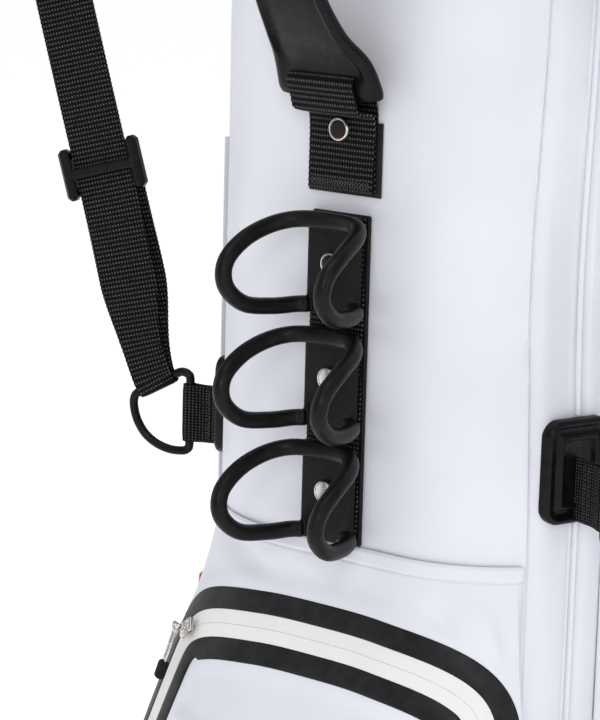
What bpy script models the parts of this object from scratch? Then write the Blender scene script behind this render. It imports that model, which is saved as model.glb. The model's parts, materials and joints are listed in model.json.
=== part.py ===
"""A golf staff bag with a moulded handle, a stack of ring hooks, two shoulder straps and zipped pockets.

Metres, +Z up. The origin is the centre of the rectangle that the bag fits in, on the ground. The spine, with
the handle and the hooks, faces -Y. The bag's outline is a rounded rectangle. A place on it is written as u,
the distance along the outline from the middle of the spine, positive towards +X, and lift, the distance
outward. Pieces that touch keep GAP between them.
"""

import math

import bmesh
import bpy
from mathutils import Matrix, Vector

# The body.
HALF_WIDTH = 0.130
HALF_DEPTH = 0.125
CORNER = 0.085
WALL = 0.003
GAP = 0.0003
ARC_STEPS = 9
FOOT_HEIGHT = 0.008
FOOT_RADIUS = 0.015
CUP_TOP = 0.070
CUP_WALL = 0.0032
BODY_BOTTOM = FOOT_HEIGHT + CUP_WALL + 3 * GAP
BODY_TOP = 0.800
SKIN = 0.002

# The top collar slopes down towards the spine.
COLLAR_SKIRT = 0.772
COLLAR_TOP = 0.865
COLLAR_SLOPE = 0.12
COLLAR_OUT = 0.0085
COLLAR_IN = -0.011
DIVIDER_Y = 0.040
GRID_HEIGHT = 0.022
GRID_MIDDLE = 0.827
GRID_BAR = 0.009

# The pockets.
FRONT_TOP = 0.4330
FRONT_BOTTOM = 0.0735
FRONT_EDGE = 0.1215
FRONT_DEPTH = 0.078
FRONT_WALL = (48.6, 51.4)
ARCH_TOP = 0.397
ARCH_HALF_WIDTH = 0.117
ARCH_DROP = 0.066
ARCH_BOTTOM = 0.120
BAND = 0.0135
TAPE = 0.0168
BAND_LIFT = 0.0022
BAND_THICKNESS = 0.0008
ARCH_STEPS = 18
ARCH_LEAN = 0.96
SIDE_START = 0.178
SIDE_END = 0.330
SIDE_DEPTH = 0.042
SIDE_TOP = 0.700
BACK_EDGE = 0.352
BACK_DEPTH = 0.064
BACK_TOP = 0.620
POCKET_BOTTOM = 0.0735
ZIP_BOTTOM = 0.140
SIDE_ZIP_TOP = 0.640
BACK_ZIP_TOP = 0.560

# The handle and the stack of ring hooks on the spine.
HANDLE_THICKNESS = 0.0125
HANDLE_END = (0.0145, 0.697)
SLOT = (0.048, 0.006)
TAB_WIDTH = 0.046
TAB_BOTTOM = 0.641
RIVET_RADIUS = 0.007
STEM_RADIUS = 0.0022
HANDLE_RIVET_Z = 0.6763
HOOK_ROOTS = (0.5737, 0.5065, 0.4393)
HOOK_TUBE = 0.005
PLATE_WIDTH = 0.038
PLATE_THICKNESS = 0.0035
PLATE_LOW = -0.005
PLATE_HIGH = 0.054
HOOK_RIVET = 0.0255
BACKING = (0.041, 0.003)
WEBBING = 0.002

# The shoulder straps, measured from the outline at STRAP_U.
STRAP_U = 0.151
STRAP_AXIS = 0.030
STRAP_WEBBING = 0.0015
STRAP_WIDTH = 0.038
RING_WIRE = 0.00275
RING_MIDDLE = 0.47725
PLATE_MIDDLE = 0.4880
PLATE_FACE = 0.007
ADJUSTER_Z = 0.628
SWIVEL_Z = 0.815

# The webbing loop on the left side.
LOOP_U = -0.142

FRONT_FLAT = HALF_WIDTH - CORNER
SIDE_FLAT = HALF_DEPTH - CORNER
QUARTER = CORNER * math.pi / 2
HALF_ROUND = 2 * (FRONT_FLAT + SIDE_FLAT + QUARTER)
SPINE_Y = -HALF_DEPTH

COLOURS = {
    "white_skin": ((0.86, 0.86, 0.89), 0.45, 0.0),
    "black_plastic": ((0.018, 0.018, 0.019), 0.42, 0.0),
    "black_webbing": ((0.013, 0.013, 0.014), 0.85, 0.0),
    "black_trim": ((0.020, 0.020, 0.021), 0.50, 0.0),
    "zip_tape": ((0.78, 0.78, 0.76), 0.60, 0.0),
    "nickel": ((0.62, 0.60, 0.57), 0.22, 1.0),
    "dark_bronze": ((0.20, 0.17, 0.15), 0.20, 1.0),
    "black_rubber": ((0.022, 0.022, 0.022), 0.80, 0.0),
    "black_lining": ((0.030, 0.030, 0.032), 0.90, 0.0),
    "orange_webbing": ((0.90, 0.22, 0.03), 0.75, 0.0),
}


def clear_scene():
    for old in list(bpy.data.objects):
        bpy.data.objects.remove(old, do_unlink=True)


def new_collection(name):
    collection = bpy.data.collections.new(name)
    bpy.context.scene.collection.children.link(collection)
    return collection


def material(name):
    found = bpy.data.materials.get(name)
    if found:
        return found
    colour, roughness, metallic = COLOURS[name]
    made = bpy.data.materials.new(name)
    made.use_nodes = True
    shader = made.node_tree.nodes["Principled BSDF"]
    shader.inputs["Base Color"].default_value = (*colour, 1.0)
    shader.inputs["Roughness"].default_value = roughness
    shader.inputs["Metallic"].default_value = metallic
    return made


def place(name, mesh, look, origin=(0, 0, 0), collection=None):
    """An object made from a mesh in world coordinates, with its origin moved to the given point."""
    mesh.transform(Matrix.Translation(-Vector(origin)))
    obj = bpy.data.objects.new(name, mesh)
    obj.location = origin
    if look:
        mesh.materials.clear()
        mesh.materials.append(material(look))
    (collection or PARTS).objects.link(obj)
    return obj


def mesh_from(points, faces, closed=True):
    mesh = bpy.data.meshes.new("mesh")
    mesh.from_pydata([tuple(point) for point in points], [], faces)
    if closed:
        turn_outward(mesh)
    return mesh


def turn_outward(mesh):
    work = bmesh.new()
    work.from_mesh(mesh)
    bmesh.ops.recalc_face_normals(work, faces=work.faces)
    work.to_mesh(mesh)
    work.free()


def smooth_shading(obj, angle=40):
    obj.data.shade_smooth()
    obj.data.set_sharp_from_angle(angle=math.radians(angle))


def ease(value):
    value = min(max(value, 0.0), 1.0)
    return value * value * (3 - 2 * value)


def curve_through(points, steps):
    """Points of a smooth curve through the given ones, with steps pieces to each stretch."""
    points = [Vector(point) for point in points]
    ends = [2 * points[0] - points[1], *points, 2 * points[-1] - points[-2]]
    found = []
    for index in range(1, len(ends) - 2):
        before, start, end, after = ends[index - 1 : index + 3]
        for step in range(steps):
            t = step / steps
            found.append(
                0.5
                * (
                    2 * start
                    + (end - before) * t
                    + (2 * before - 5 * start + 4 * end - after) * t**2
                    + (3 * start - before - 3 * end + after) * t**3
                )
            )
    return [*found, points[-1]]


def outline(u, lift=0.0):
    """The point at u on the bag's outline, moved out by lift, and the outward normal there."""
    side = -1 if u < 0 else 1
    rest = abs(u)
    reach = CORNER + lift
    if rest < FRONT_FLAT:
        point, normal = (rest, -HALF_DEPTH - lift), (0, -1)
    elif rest < FRONT_FLAT + QUARTER:
        turn = (rest - FRONT_FLAT) / CORNER
        normal = (math.sin(turn), -math.cos(turn))
        point = (FRONT_FLAT + reach * normal[0], -SIDE_FLAT + reach * normal[1])
    elif rest < FRONT_FLAT + QUARTER + 2 * SIDE_FLAT:
        point = (HALF_WIDTH + lift, rest - FRONT_FLAT - QUARTER - SIDE_FLAT)
        normal = (1, 0)
    elif rest < FRONT_FLAT + 2 * QUARTER + 2 * SIDE_FLAT:
        turn = (rest - FRONT_FLAT - 2 * SIDE_FLAT) / CORNER
        normal = (math.sin(turn), -math.cos(turn))
        point = (FRONT_FLAT + reach * normal[0], SIDE_FLAT + reach * normal[1])
    else:
        point, normal = (HALF_ROUND - rest, HALF_DEPTH + lift), (0, 1)
    return Vector((side * point[0], point[1], 0)), Vector((side * normal[0], normal[1], 0))


def on_body(u, lift, z):
    return outline(u, lift)[0] + Vector((0, 0, z))


def stations(start, end, extra=()):
    """The places along the outline where facets meet, from start to end, so that every skin bends alike."""
    corners = [FRONT_FLAT, FRONT_FLAT + QUARTER + 2 * SIDE_FLAT]
    knots = [corner + QUARTER * step / ARC_STEPS for corner in corners for step in range(ARC_STEPS + 1)]
    knots = [*knots, HALF_ROUND, *extra]
    knots += [-knot for knot in knots] + [0.0] + [2 * HALF_ROUND - knot for knot in knots]
    tiny = 0.0005
    inside = sorted(knot for knot in knots if start + tiny < knot < end - tiny)
    spaced = [knot for index, knot in enumerate(inside) if not index or knot - inside[index - 1] > tiny]
    return [start, *spaced, end]


def around():
    """Stations once round the bag, without the last one, which is the first again."""
    return stations(-HALF_ROUND, HALF_ROUND)[:-1]


def grid_faces(rows, columns, closed=False):
    """Quads over a grid of points stored row by row. A closed grid joins its last column to its first."""
    faces = []
    for row in range(rows - 1):
        for column in range(columns if closed else columns - 1):
            beside = (column + 1) % columns
            low, high = row * columns, (row + 1) * columns
            faces.append((low + column, low + beside, high + beside, high + column))
    return faces


def sheet(name, rows, thickness, look, closed=False, centred=False, origin=(0, 0, 0)):
    """A sheet over rows of points, thickened inward, or both ways where it is centred."""
    points = [point for row in rows for point in row]
    mesh = mesh_from(points, grid_faces(len(rows), len(rows[0]), closed), closed=False)
    obj = place(name, mesh, look, origin)
    solidify = obj.modifiers.new("Thickness", "SOLIDIFY")
    solidify.thickness = thickness
    solidify.offset = 0 if centred else -1
    return obj


def loft(name, sections, look, origin=(0, 0, 0)):
    """A closed solid through sections that have the same number of points."""
    count = len(sections[0])
    faces = grid_faces(len(sections), count, closed=True)
    faces.append(tuple(reversed(range(count))))
    faces.append(tuple(range((len(sections) - 1) * count, len(sections) * count)))
    obj = place(name, mesh_from([point for ring in sections for point in ring], faces), look, origin)
    smooth_shading(obj)
    return obj


def ribbon(name, path, across, width, thickness, look, origin=(0, 0, 0)):
    """Webbing along a path. across and width are each one value, or one for every point."""
    count = len(path)
    across = across if isinstance(across, list) else [across] * count
    width = width if isinstance(width, list) else [width] * count
    rows = []
    for point, direction, wide in zip(path, across, width):
        rows.append([point - direction * wide / 2, point + direction * wide / 2])
    return sheet(name, rows, thickness, look, centred=True, origin=origin)


def box(centre, size, axes=None, bevel=0.0, look=None, name="box", origin=(0, 0, 0)):
    """A box whose sides lie along the columns of axes, with its edges rounded."""
    mesh = bpy.data.meshes.new(name)
    work = bmesh.new()
    turn = (axes or Matrix.Identity(3)).to_4x4()
    scale = Matrix.Diagonal((*size, 1))
    bmesh.ops.create_cube(work, size=1, matrix=Matrix.Translation(centre) @ turn @ scale)
    if bevel:
        bmesh.ops.bevel(work, geom=work.edges[:], offset=bevel, segments=1, affect="EDGES")
    work.to_mesh(mesh)
    work.free()
    turn_outward(mesh)
    return place(name, mesh, look, origin)


def rod(centre, direction, radius, length, sides, look=None, name="rod", origin=(0, 0, 0)):
    mesh = bpy.data.meshes.new(name)
    work = bmesh.new()
    turn = Vector(direction).to_track_quat("Z", "Y").to_matrix().to_4x4()
    bmesh.ops.create_cone(
        work,
        cap_ends=True,
        segments=sides,
        radius1=radius,
        radius2=radius,
        depth=length,
        matrix=Matrix.Translation(centre) @ turn,
    )
    work.to_mesh(mesh)
    work.free()
    obj = place(name, mesh, look, origin)
    smooth_shading(obj)
    return obj


def tube(name, points, radius, look, cyclic=False, resolution=2, origin=(0, 0, 0)):
    data = bpy.data.curves.new(name, "CURVE")
    data.dimensions = "3D"
    data.bevel_depth = radius
    data.bevel_resolution = resolution
    data.use_fill_caps = not cyclic
    spline = data.splines.new("POLY")
    spline.points.add(len(points) - 1)
    for place_on, point in zip(spline.points, points):
        place_on.co = (*(point - Vector(origin)), 1)
    spline.use_cyclic_u = cyclic
    obj = bpy.data.objects.new(name, data)
    obj.location = origin
    data.materials.append(material(look))
    PARTS.objects.link(obj)
    return obj


def world_mesh(obj):
    """The object's evaluated mesh in world coordinates, with a curve's caps welded on."""
    bpy.context.view_layer.update()
    evaluated = obj.evaluated_get(bpy.context.evaluated_depsgraph_get())
    mesh = bpy.data.meshes.new_from_object(evaluated)
    mesh.transform(obj.matrix_world)
    work = bmesh.new()
    work.from_mesh(mesh)
    bmesh.ops.remove_doubles(work, verts=work.verts, dist=0.00001)
    work.to_mesh(mesh)
    work.free()
    return mesh


def fused(name, pieces, look, origin=(0, 0, 0)):
    """One solid made by joining the pieces, which are removed."""
    pieces = [place("piece", world_mesh(piece), look) for piece in remove_after(pieces)]
    for other in pieces[1:]:
        join = pieces[0].modifiers.new("Join", "BOOLEAN")
        join.operation = "UNION"
        join.object = other
    mesh = world_mesh(pieces[0])
    for piece in pieces:
        bpy.data.objects.remove(piece)
    obj = place(name, mesh, look, origin)
    smooth_shading(obj)
    return obj


def remove_after(pieces):
    """Each piece in turn. It is removed once the next one is asked for."""
    for piece in pieces:
        yield piece
        bpy.data.objects.remove(piece)


def cut(obj, cutter):
    """Takes the cutter's shape out of the object."""
    for collection in list(cutter.users_collection):
        collection.objects.unlink(cutter)
    CUTTERS.objects.link(cutter)
    cutter.hide_render = True
    cutter.display_type = "WIRE"
    hole = obj.modifiers.new("Cut", "BOOLEAN")
    hole.operation = "DIFFERENCE"
    hole.object = cutter


def mirrored(obj, name):
    """A copy of the object on the bag's other side, with its modifiers' work made part of the mesh."""
    mesh = world_mesh(obj)
    mesh.transform(Matrix.Diagonal((-1, 1, 1, 1)))
    mesh.flip_normals()
    origin = Vector((-obj.location.x, obj.location.y, obj.location.z))
    copy = place(name, mesh, None, origin)
    smooth_shading(copy)
    return copy


# The body, its base and its top.


def make_body():
    rows = [[on_body(u, 0, z) for u in around()] for z in (BODY_BOTTOM, BODY_TOP)]
    sheet("body_shell", rows, WALL, "white_skin", closed=True)


def make_base():
    lift = GAP + CUP_WALL
    rows = [[on_body(u, lift, z) for u in around()] for z in (FOOT_HEIGHT + GAP, CUP_TOP)]
    count = len(rows[0])
    faces = grid_faces(2, count, closed=True)
    faces.append(tuple(reversed(range(count))))
    cup = place("base_cup", mesh_from(rows[0] + rows[1], faces, closed=False), "black_plastic")
    solidify = cup.modifiers.new("Thickness", "SOLIDIFY")
    solidify.thickness = CUP_WALL
    solidify.use_even_offset = True
    number = 0
    for x in (-0.082, 0.082):
        for y in (-0.078, 0.078):
            number += 1
            middle = (x, y, FOOT_HEIGHT / 2)
            rod(middle, (0, 0, 1), FOOT_RADIUS, FOOT_HEIGHT, 20, "black_rubber", f"base_foot_{number}")


def collar_top(y):
    return COLLAR_TOP + COLLAR_SLOPE * y


def make_collar():
    sections = []
    for u in around():
        top = collar_top(outline(u)[0].y)
        profile = (
            (GAP, COLLAR_SKIRT),
            (0.0055, COLLAR_SKIRT),
            (COLLAR_OUT, COLLAR_SKIRT + 0.020),
            (COLLAR_OUT, top - 0.006),
            (COLLAR_OUT - 0.003, top),
            (COLLAR_IN + 0.003, top),
            (COLLAR_IN, top - 0.006),
            (COLLAR_IN, BODY_TOP + GAP),
            (GAP, BODY_TOP + GAP),
        )
        sections.append([on_body(u, lift, z) for lift, z in profile])
    count = len(sections[0])
    points = [point for section in sections for point in section]
    faces = grid_faces(len(sections), count, closed=True)
    last = (len(sections) - 1) * count
    for index in range(count):
        beside = (index + 1) % count
        faces.append((last + index, last + beside, beside, index))
    collar = place("top_collar", mesh_from(points, faces), "black_plastic")
    smooth_shading(collar)


def make_dividers():
    """A padded grid in the mouth and the sleeve panels under it: two columns of three wells."""
    grid_y = HALF_DEPTH + COLLAR_IN - GAP
    grid_x = HALF_WIDTH + COLLAR_IN - 0.0007
    bars = [box((0, 0, 0), (GRID_BAR, 2 * grid_y, GRID_HEIGHT), bevel=0.003)]
    for y in (-DIVIDER_Y, DIVIDER_Y):
        bars.append(box((0, y, 0), (2 * grid_x, GRID_BAR, GRID_HEIGHT), bevel=0.003))
    grid = fused("divider_grid", bars, "black_lining")
    for point in grid.data.vertices:
        point.co.z += GRID_MIDDLE + COLLAR_SLOPE * point.co.y

    top, bottom = BODY_TOP - 2 * GAP, BODY_BOTTOM + GAP
    middle, height = (top + bottom) / 2, top - bottom
    panel_y = HALF_DEPTH - WALL - 2 * GAP
    panel_x = HALF_WIDTH - WALL - 2 * GAP
    panels = [box((0, 0, middle), (0.0025, 2 * panel_y, height))]
    for y in (-DIVIDER_Y, DIVIDER_Y):
        panels.append(box((0, y - math.copysign(0.0015, y), middle), (2 * panel_x, 0.0025, height)))
    fused("divider_sleeve", panels, "black_lining")


# The pockets and their zips.


def front_depth(u, z):
    """How far the front pocket stands out: a slope from its top seam, and short side walls."""
    below = max(FRONT_TOP - z, 0.0)
    swell = FRONT_DEPTH * math.tanh(0.748 * below**1.41 / FRONT_DEPTH)
    degrees = math.degrees(max(abs(u) - FRONT_FLAT, 0.0) / CORNER)
    side = 1 - ease((degrees - FRONT_WALL[0]) / (FRONT_WALL[1] - FRONT_WALL[0]))
    return swell * side * ease((z - FRONT_BOTTOM) / 0.035)


def panel_depth(u, z, start, end, top, deep):
    """How far a panel pocket stands out: flat in the middle, rounded down to the body at its edges."""
    beside = ease((u - start) / 0.030) * ease((end - u) / 0.030)
    return deep * beside * ease((top - z) / 0.050) * ease((z - POCKET_BOTTOM) / 0.050)


def side_depth(u, z):
    return panel_depth(u, z, SIDE_START, SIDE_END, SIDE_TOP, SIDE_DEPTH)


def back_depth(u, z):
    return panel_depth(u, z, BACK_EDGE, 2 * HALF_ROUND - BACK_EDGE, BACK_TOP, BACK_DEPTH)


def make_pocket(name, columns, heights, depth, look="white_skin"):
    rows = [[on_body(u, GAP + SKIN + depth(u, z), z) for u in columns] for z in heights]
    return sheet(name, rows, SKIN, look)


def make_pockets():
    edge = (0.1172, 0.1183, 0.1194, 0.1205)
    columns = stations(-FRONT_EDGE, FRONT_EDGE, [*edge, *(-value for value in edge)])
    heights = (0.0735, 0.084, 0.096, 0.110, 0.200, 0.270, 0.320, 0.360, 0.390, 0.412, FRONT_TOP)
    make_pocket("front_pocket", columns, heights, front_depth)

    extra = (0.185, 0.192, 0.200, 0.208, 0.229, 0.300, 0.309, 0.316, 0.323)
    columns = stations(SIDE_START, SIDE_END, extra)
    heights = (0.0735, 0.086, 0.099, 0.112, 0.125, 0.640, 0.654, 0.668, 0.684, 0.700)
    left = [-u for u in reversed(columns)]
    make_pocket("side_pocket_right", columns, heights, side_depth)
    make_pocket("side_pocket_left", left, heights, lambda u, z: side_depth(-u, z))

    extra = (0.359, 0.366, 0.374, 0.382)
    columns = stations(BACK_EDGE, 2 * HALF_ROUND - BACK_EDGE, extra)
    heights = (0.0735, 0.086, 0.099, 0.112, 0.125, 0.560, 0.574, 0.590, 0.605, 0.620)
    rows = []
    for z in heights:
        rows.append([on_body(wrapped(u), GAP + SKIN + back_depth(u, z), z) for u in columns])
    sheet("back_pocket", rows, SKIN, "white_skin")


def wrapped(u):
    """The same place on the outline, with u between minus and plus half the way round."""
    return u - 2 * HALF_ROUND if u > HALF_ROUND else u


def arch_point(turn, inset):
    """A place (u, z) on the zip arch. turn runs from -1 at the left foot to 1 at the right foot."""
    leg = 0.35
    foot = ARCH_TOP - ARCH_DROP
    bend = min(abs(turn) / (1 - leg), 1.0) * math.pi / 2
    u = ARCH_HALF_WIDTH * math.sin(bend) ** (2 / 3)
    z = foot + ARCH_DROP * math.cos(bend) ** (2 / 3)
    slope_u = (u / ARCH_HALF_WIDTH) ** 2 / ARCH_HALF_WIDTH
    slope_z = ((z - foot) / ARCH_DROP) ** 2 / ARCH_DROP
    steep = math.hypot(slope_u, slope_z)
    if abs(turn) > 1 - leg:
        z -= (foot - ARCH_BOTTOM) * (abs(turn) - 1 + leg) / leg
    stretch = 1 + front_depth(0, z) / CORNER
    u -= inset * slope_u / steep / stretch
    z -= inset * slope_z / steep * ARCH_LEAN
    return math.copysign(u, turn), z


def arch_place(turn, inset, lift):
    u, z = arch_point(turn, inset)
    return on_body(u, GAP + SKIN + front_depth(u, z) + lift, z)


def arch_strip(name, inner, outer, look):
    """One band of the zip arch, laid on the front pocket. Its turns crowd where the arch bends."""
    turns = [step / ARCH_STEPS for step in range(-ARCH_STEPS, ARCH_STEPS + 1)]
    rows = [[arch_place(turn, inset, BAND_LIFT) for inset in (outer, inner)] for turn in turns]
    return sheet(name, rows, BAND_THICKNESS, look)


def straight_zip(name, direction, depth, low, high):
    """A straight zip tape that stands on the flat of a pocket."""
    lift = GAP + SKIN + depth + GAP
    reach = (HALF_WIDTH if direction.x else HALF_DEPTH) + lift + 0.0005
    across = Vector((0, 0, 1)).cross(direction)
    axes = Matrix((direction, across, Vector((0, 0, 1)))).transposed()
    middle = direction * reach + Vector((0, 0, (low + high) / 2))
    return box(middle, (0.001, TAPE, high - low), axes, look="zip_tape", name=name)


def make_zips():
    tape = (BAND + 0.0003, BAND + TAPE - 0.0003)
    arch_strip("front_zip_tape", tape[1], tape[0], "zip_tape")
    arch_strip("front_trim_upper", BAND - 0.0003, 0.0, "black_trim")
    arch_strip("front_trim_lower", 2 * BAND + TAPE, BAND + TAPE + 0.0003, "black_trim")
    straight_zip("side_zip_right", Vector((1, 0, 0)), SIDE_DEPTH, ZIP_BOTTOM, SIDE_ZIP_TOP)
    straight_zip("side_zip_left", Vector((-1, 0, 0)), SIDE_DEPTH, ZIP_BOTTOM, SIDE_ZIP_TOP)
    straight_zip("back_zip", Vector((0, 1, 0)), BACK_DEPTH, ZIP_BOTTOM, BACK_ZIP_TOP)


def make_slider(name, foot, out, along, hang):
    """A zip slider and its pull. foot is the point on the tape, and hang is the way that the pull hangs."""
    across = along.cross(out)
    axes = Matrix((across, along, out)).transposed()
    slider = box(foot + out * 0.0025, (0.010, 0.014, 0.004), axes, bevel=0.0012)
    bridge = box(foot + out * 0.0055, (0.004, 0.006, 0.004), axes, bevel=0.0008)
    fused(f"{name}_slider", [slider, bridge], "nickel", foot)
    pivot = foot + out * 0.0095
    across = hang.cross(out)
    axes = Matrix((across, hang, out)).transposed()
    eye = rod(pivot, across, 0.0017, 0.008, 12)
    lever = box(pivot + hang * 0.0145, (0.006, 0.027, 0.0018), axes, bevel=0.0006)
    grip = box(pivot + hang * 0.0300, (0.008, 0.008, 0.006), axes, bevel=0.0015)
    fused(f"{name}_pull", [eye, lever, grip], "nickel", pivot)


def make_sliders():
    down = Vector((0, 0, -1))
    side_x = HALF_WIDTH + GAP + SKIN + SIDE_DEPTH + GAP + 0.001 + GAP
    back_y = HALF_DEPTH + GAP + SKIN + BACK_DEPTH + GAP + 0.001 + GAP
    top = SIDE_ZIP_TOP - 0.020
    make_slider("side_zip_right", Vector((side_x, 0, top)), Vector((1, 0, 0)), down, down)
    make_slider("side_zip_left", Vector((-side_x, 0, top)), Vector((-1, 0, 0)), down, down)
    make_slider("back_zip", Vector((0, back_y, BACK_ZIP_TOP - 0.020)), Vector((0, 1, 0)), down, down)

    turn, inset = -0.440, BAND + TAPE / 2
    foot = arch_place(turn, inset, BAND_LIFT)
    along = (arch_place(turn - 0.01, inset, BAND_LIFT) - arch_place(turn + 0.01, inset, BAND_LIFT)).normalized()
    inward = arch_place(turn, inset + 0.002, BAND_LIFT) - foot
    out = along.cross(inward).normalized()
    out = out if out.dot(outline(arch_point(turn, inset)[0])[1]) > 0 else -out
    hang = (down - out * down.dot(out)).normalized()
    make_slider("front_zip", foot + out * (GAP + 0.0007), out, along, hang)


# The handle and the hooks on the spine. A place is (out, z), and out is measured from the spine's face.


def spine(out, z, x=0.0):
    return Vector((x, SPINE_Y - out, z))


def handle_end(down, out):
    """A place near the handle's lower end, from how far it is past that end and out from its middle."""
    along = Vector((-0.447, -0.894))
    across = Vector((0.894, -0.447))
    return Vector(HANDLE_END) + along * down + across * out


def make_handle():
    path = [(COLLAR_OUT + 2 * GAP, 0.826, 0.062), (0.030, 0.839, 0.052), (0.050, 0.833, 0.047)]
    path += [(0.062, 0.813, 0.045), (0.0645, 0.786, 0.045), (0.057, 0.758, 0.047), (0.040, 0.7325, 0.054)]
    path += [(0.024, 0.716, 0.067), (*HANDLE_END, 0.073)]
    path = curve_through(path, 2)
    sections = []
    for index, (out, z, width) in enumerate(path):
        ahead = path[min(index + 1, len(path) - 1)] - path[max(index - 1, 0)]
        normal = Vector((-ahead.y, ahead.x)).normalized()
        if index == 0:
            normal = Vector((0, 1))
        half = width / 2
        thick = HANDLE_THICKNESS / 2
        ring = []
        for step in range(12):
            turn = 2 * math.pi * step / 12
            x = half * math.copysign(abs(math.cos(turn)) ** 0.5, math.cos(turn))
            depth = thick * math.copysign(abs(math.sin(turn)) ** 0.7, math.sin(turn))
            ring.append(spine(out + normal.x * depth, z + normal.y * depth, x))
        sections.append(ring)
    handle = loft("handle", sections, "black_plastic")
    middle = handle_end(-0.014, 0)
    along, across = Vector((0, 0.447, -0.894)), Vector((0, -0.894, -0.447))
    axes = Matrix((Vector((1, 0, 0)), along, across)).transposed()
    cut(handle, box(spine(*middle), (SLOT[0], SLOT[1], 0.040), axes, bevel=0.0012, name="slot_cutter"))


def make_handle_tab():
    front = [(0.0040, TAB_BOTTOM), (0.0040, 0.664), (0.0040, 0.6836), (0.0085, 0.6868)]
    loop = [(0.006, 0.0090), (-0.004, 0.0088), (-0.0125, 0.0084), (-0.0142, 0.0055), (-0.0142, -0.0055)]
    loop += [(-0.0125, -0.0084), (-0.004, -0.0086), (0.002, -0.0084)]
    back = [(0.0016, 0.6870), (0.0016, 0.664), (0.0016, TAB_BOTTOM)]
    path = [Vector(place_on) for place_on in front]
    path += [handle_end(down, out) for down, out in loop]
    path += [Vector(place_on) for place_on in back]
    points = [spine(*place_on) for place_on in path]
    across = Vector((1, 0, 0))
    tab = ribbon("handle_tab", points, across, TAB_WIDTH, WEBBING, "black_webbing")
    cut(tab, rod(spine(0, HANDLE_RIVET_Z), (0, 1, 0), STEM_RADIUS + GAP, 0.04, 12, name="tab_cutter"))


def make_rivet(name, seat, stem_end, z, look):
    """A domed rivet whose cap sits at seat and whose stem goes down to stem_end, turned about its axis."""
    dome = 0.0032
    profile = [(0.0, dome), (0.0030, dome - 0.0004), (0.0055, dome - 0.0015), (RIVET_RADIUS, 0.0008)]
    profile += [(RIVET_RADIUS, 0.0), (STEM_RADIUS, 0.0), (STEM_RADIUS, stem_end - seat), (0.0, stem_end - seat)]
    mesh = bpy.data.meshes.new(name)
    edges = [(index, index + 1) for index in range(len(profile) - 1)]
    mesh.from_pydata([(radius, 0, height) for radius, height in profile], edges, [])
    mesh.materials.append(material(look))
    obj = bpy.data.objects.new(name, mesh)
    PARTS.objects.link(obj)
    obj.location = spine(seat, z)
    obj.rotation_euler = (math.radians(90), 0, 0)
    screw = obj.modifiers.new("Turn", "SCREW")
    screw.steps = screw.render_steps = 16
    screw.use_merge_vertices = True
    screw.merge_threshold = 0.00005
    screw.use_smooth_shade = True


def hook_path():
    """The wire of a ring hook: up one wing, over the top bar and down the other, from (across, out, up)."""
    wing = [(0.0150, 0.0054, 0.0005), (0.0215, 0.0095, 0.0000), (0.0275, 0.0240, 0.0000), (0.0320, 0.0440, 0.0035)]
    wing += [(0.0345, 0.0575, 0.0150), (0.0360, 0.0560, 0.0285), (0.0355, 0.0410, 0.0395), (0.0310, 0.0230, 0.0465)]
    wing += [(0.0200, 0.0105, 0.0500)]
    left = [(-across, out, up) for across, out, up in wing]
    return curve_through([*wing, (0.0, 0.0070, 0.0505), *reversed(left)], 2)


def make_hooks():
    low, high = HOOK_ROOTS[-1] + PLATE_LOW, HOOK_ROOTS[0] + PLATE_HIGH
    middle, height = (low + high) / 2, high - low
    seat = GAP
    size = (BACKING[0], BACKING[1], height + 0.001)
    box(spine(seat + BACKING[1] / 2, middle), size, bevel=0.0008, look="black_plastic", name="hook_backing")
    seat += BACKING[1] + GAP
    size = (STRAP_WIDTH, WEBBING, height)
    webbing = box(spine(seat + WEBBING / 2, middle), size, look="black_webbing", name="hook_webbing")
    stem_end = seat + GAP
    seat += WEBBING + GAP
    names = ("upper", "middle", "lower")
    for number, (name, root) in enumerate(zip(names, HOOK_ROOTS), start=1):
        points = [spine(seat + out, root + up, across) for across, out, up in hook_path()]
        wire = tube("wire", points, HOOK_TUBE, "black_plastic")
        size = (PLATE_WIDTH, PLATE_THICKNESS, PLATE_HIGH - PLATE_LOW)
        centre = spine(seat + PLATE_THICKNESS / 2, root + (PLATE_HIGH + PLATE_LOW) / 2)
        plate = box(centre, size, bevel=0.0008)
        hook = fused(f"ring_hook_{name}", [plate, wire], "black_plastic")
        hole = rod(spine(0, root + HOOK_RIVET), (0, 1, 0), STEM_RADIUS + GAP, 0.03, 12, name="hook_cutter")
        cut(hook, hole)
        again = webbing.modifiers.new("Cut", "BOOLEAN")
        again.operation = "DIFFERENCE"
        again.object = hole
        look = "dark_bronze" if number == 1 else "nickel"
        make_rivet(f"hook_rivet_{number}", seat + PLATE_THICKNESS + GAP, stem_end, root + HOOK_RIVET, look)


# The shoulder straps. A place is (out, z, turn): out from the outline at STRAP_U, and turn towards the spine.


def strap_place(out, z, turn=0.0):
    """The left strap's frame: outward from the body, up, and round towards the spine."""
    point, normal = outline(-STRAP_U)
    toward = Vector((0, 0, 1)).cross(normal)
    return point + normal * out + toward * turn + Vector((0, 0, z))


def strap_axes():
    normal = outline(-STRAP_U)[1]
    return Matrix((normal, Vector((0, 0, 1)).cross(normal), Vector((0, 0, 1)))).transposed()


def body_prism(lift):
    """A tall solid of the bag's outline, used to shape what lies against it."""
    rows = [[on_body(u, lift, z) for u in around()] for z in (-0.05, 1.0)]
    count = len(rows[0])
    faces = grid_faces(2, count, closed=True)
    faces.append(tuple(reversed(range(count))))
    faces.append(tuple(range(count, 2 * count)))
    return place("outline_cutter", mesh_from(rows[0] + rows[1], faces), None)


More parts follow.
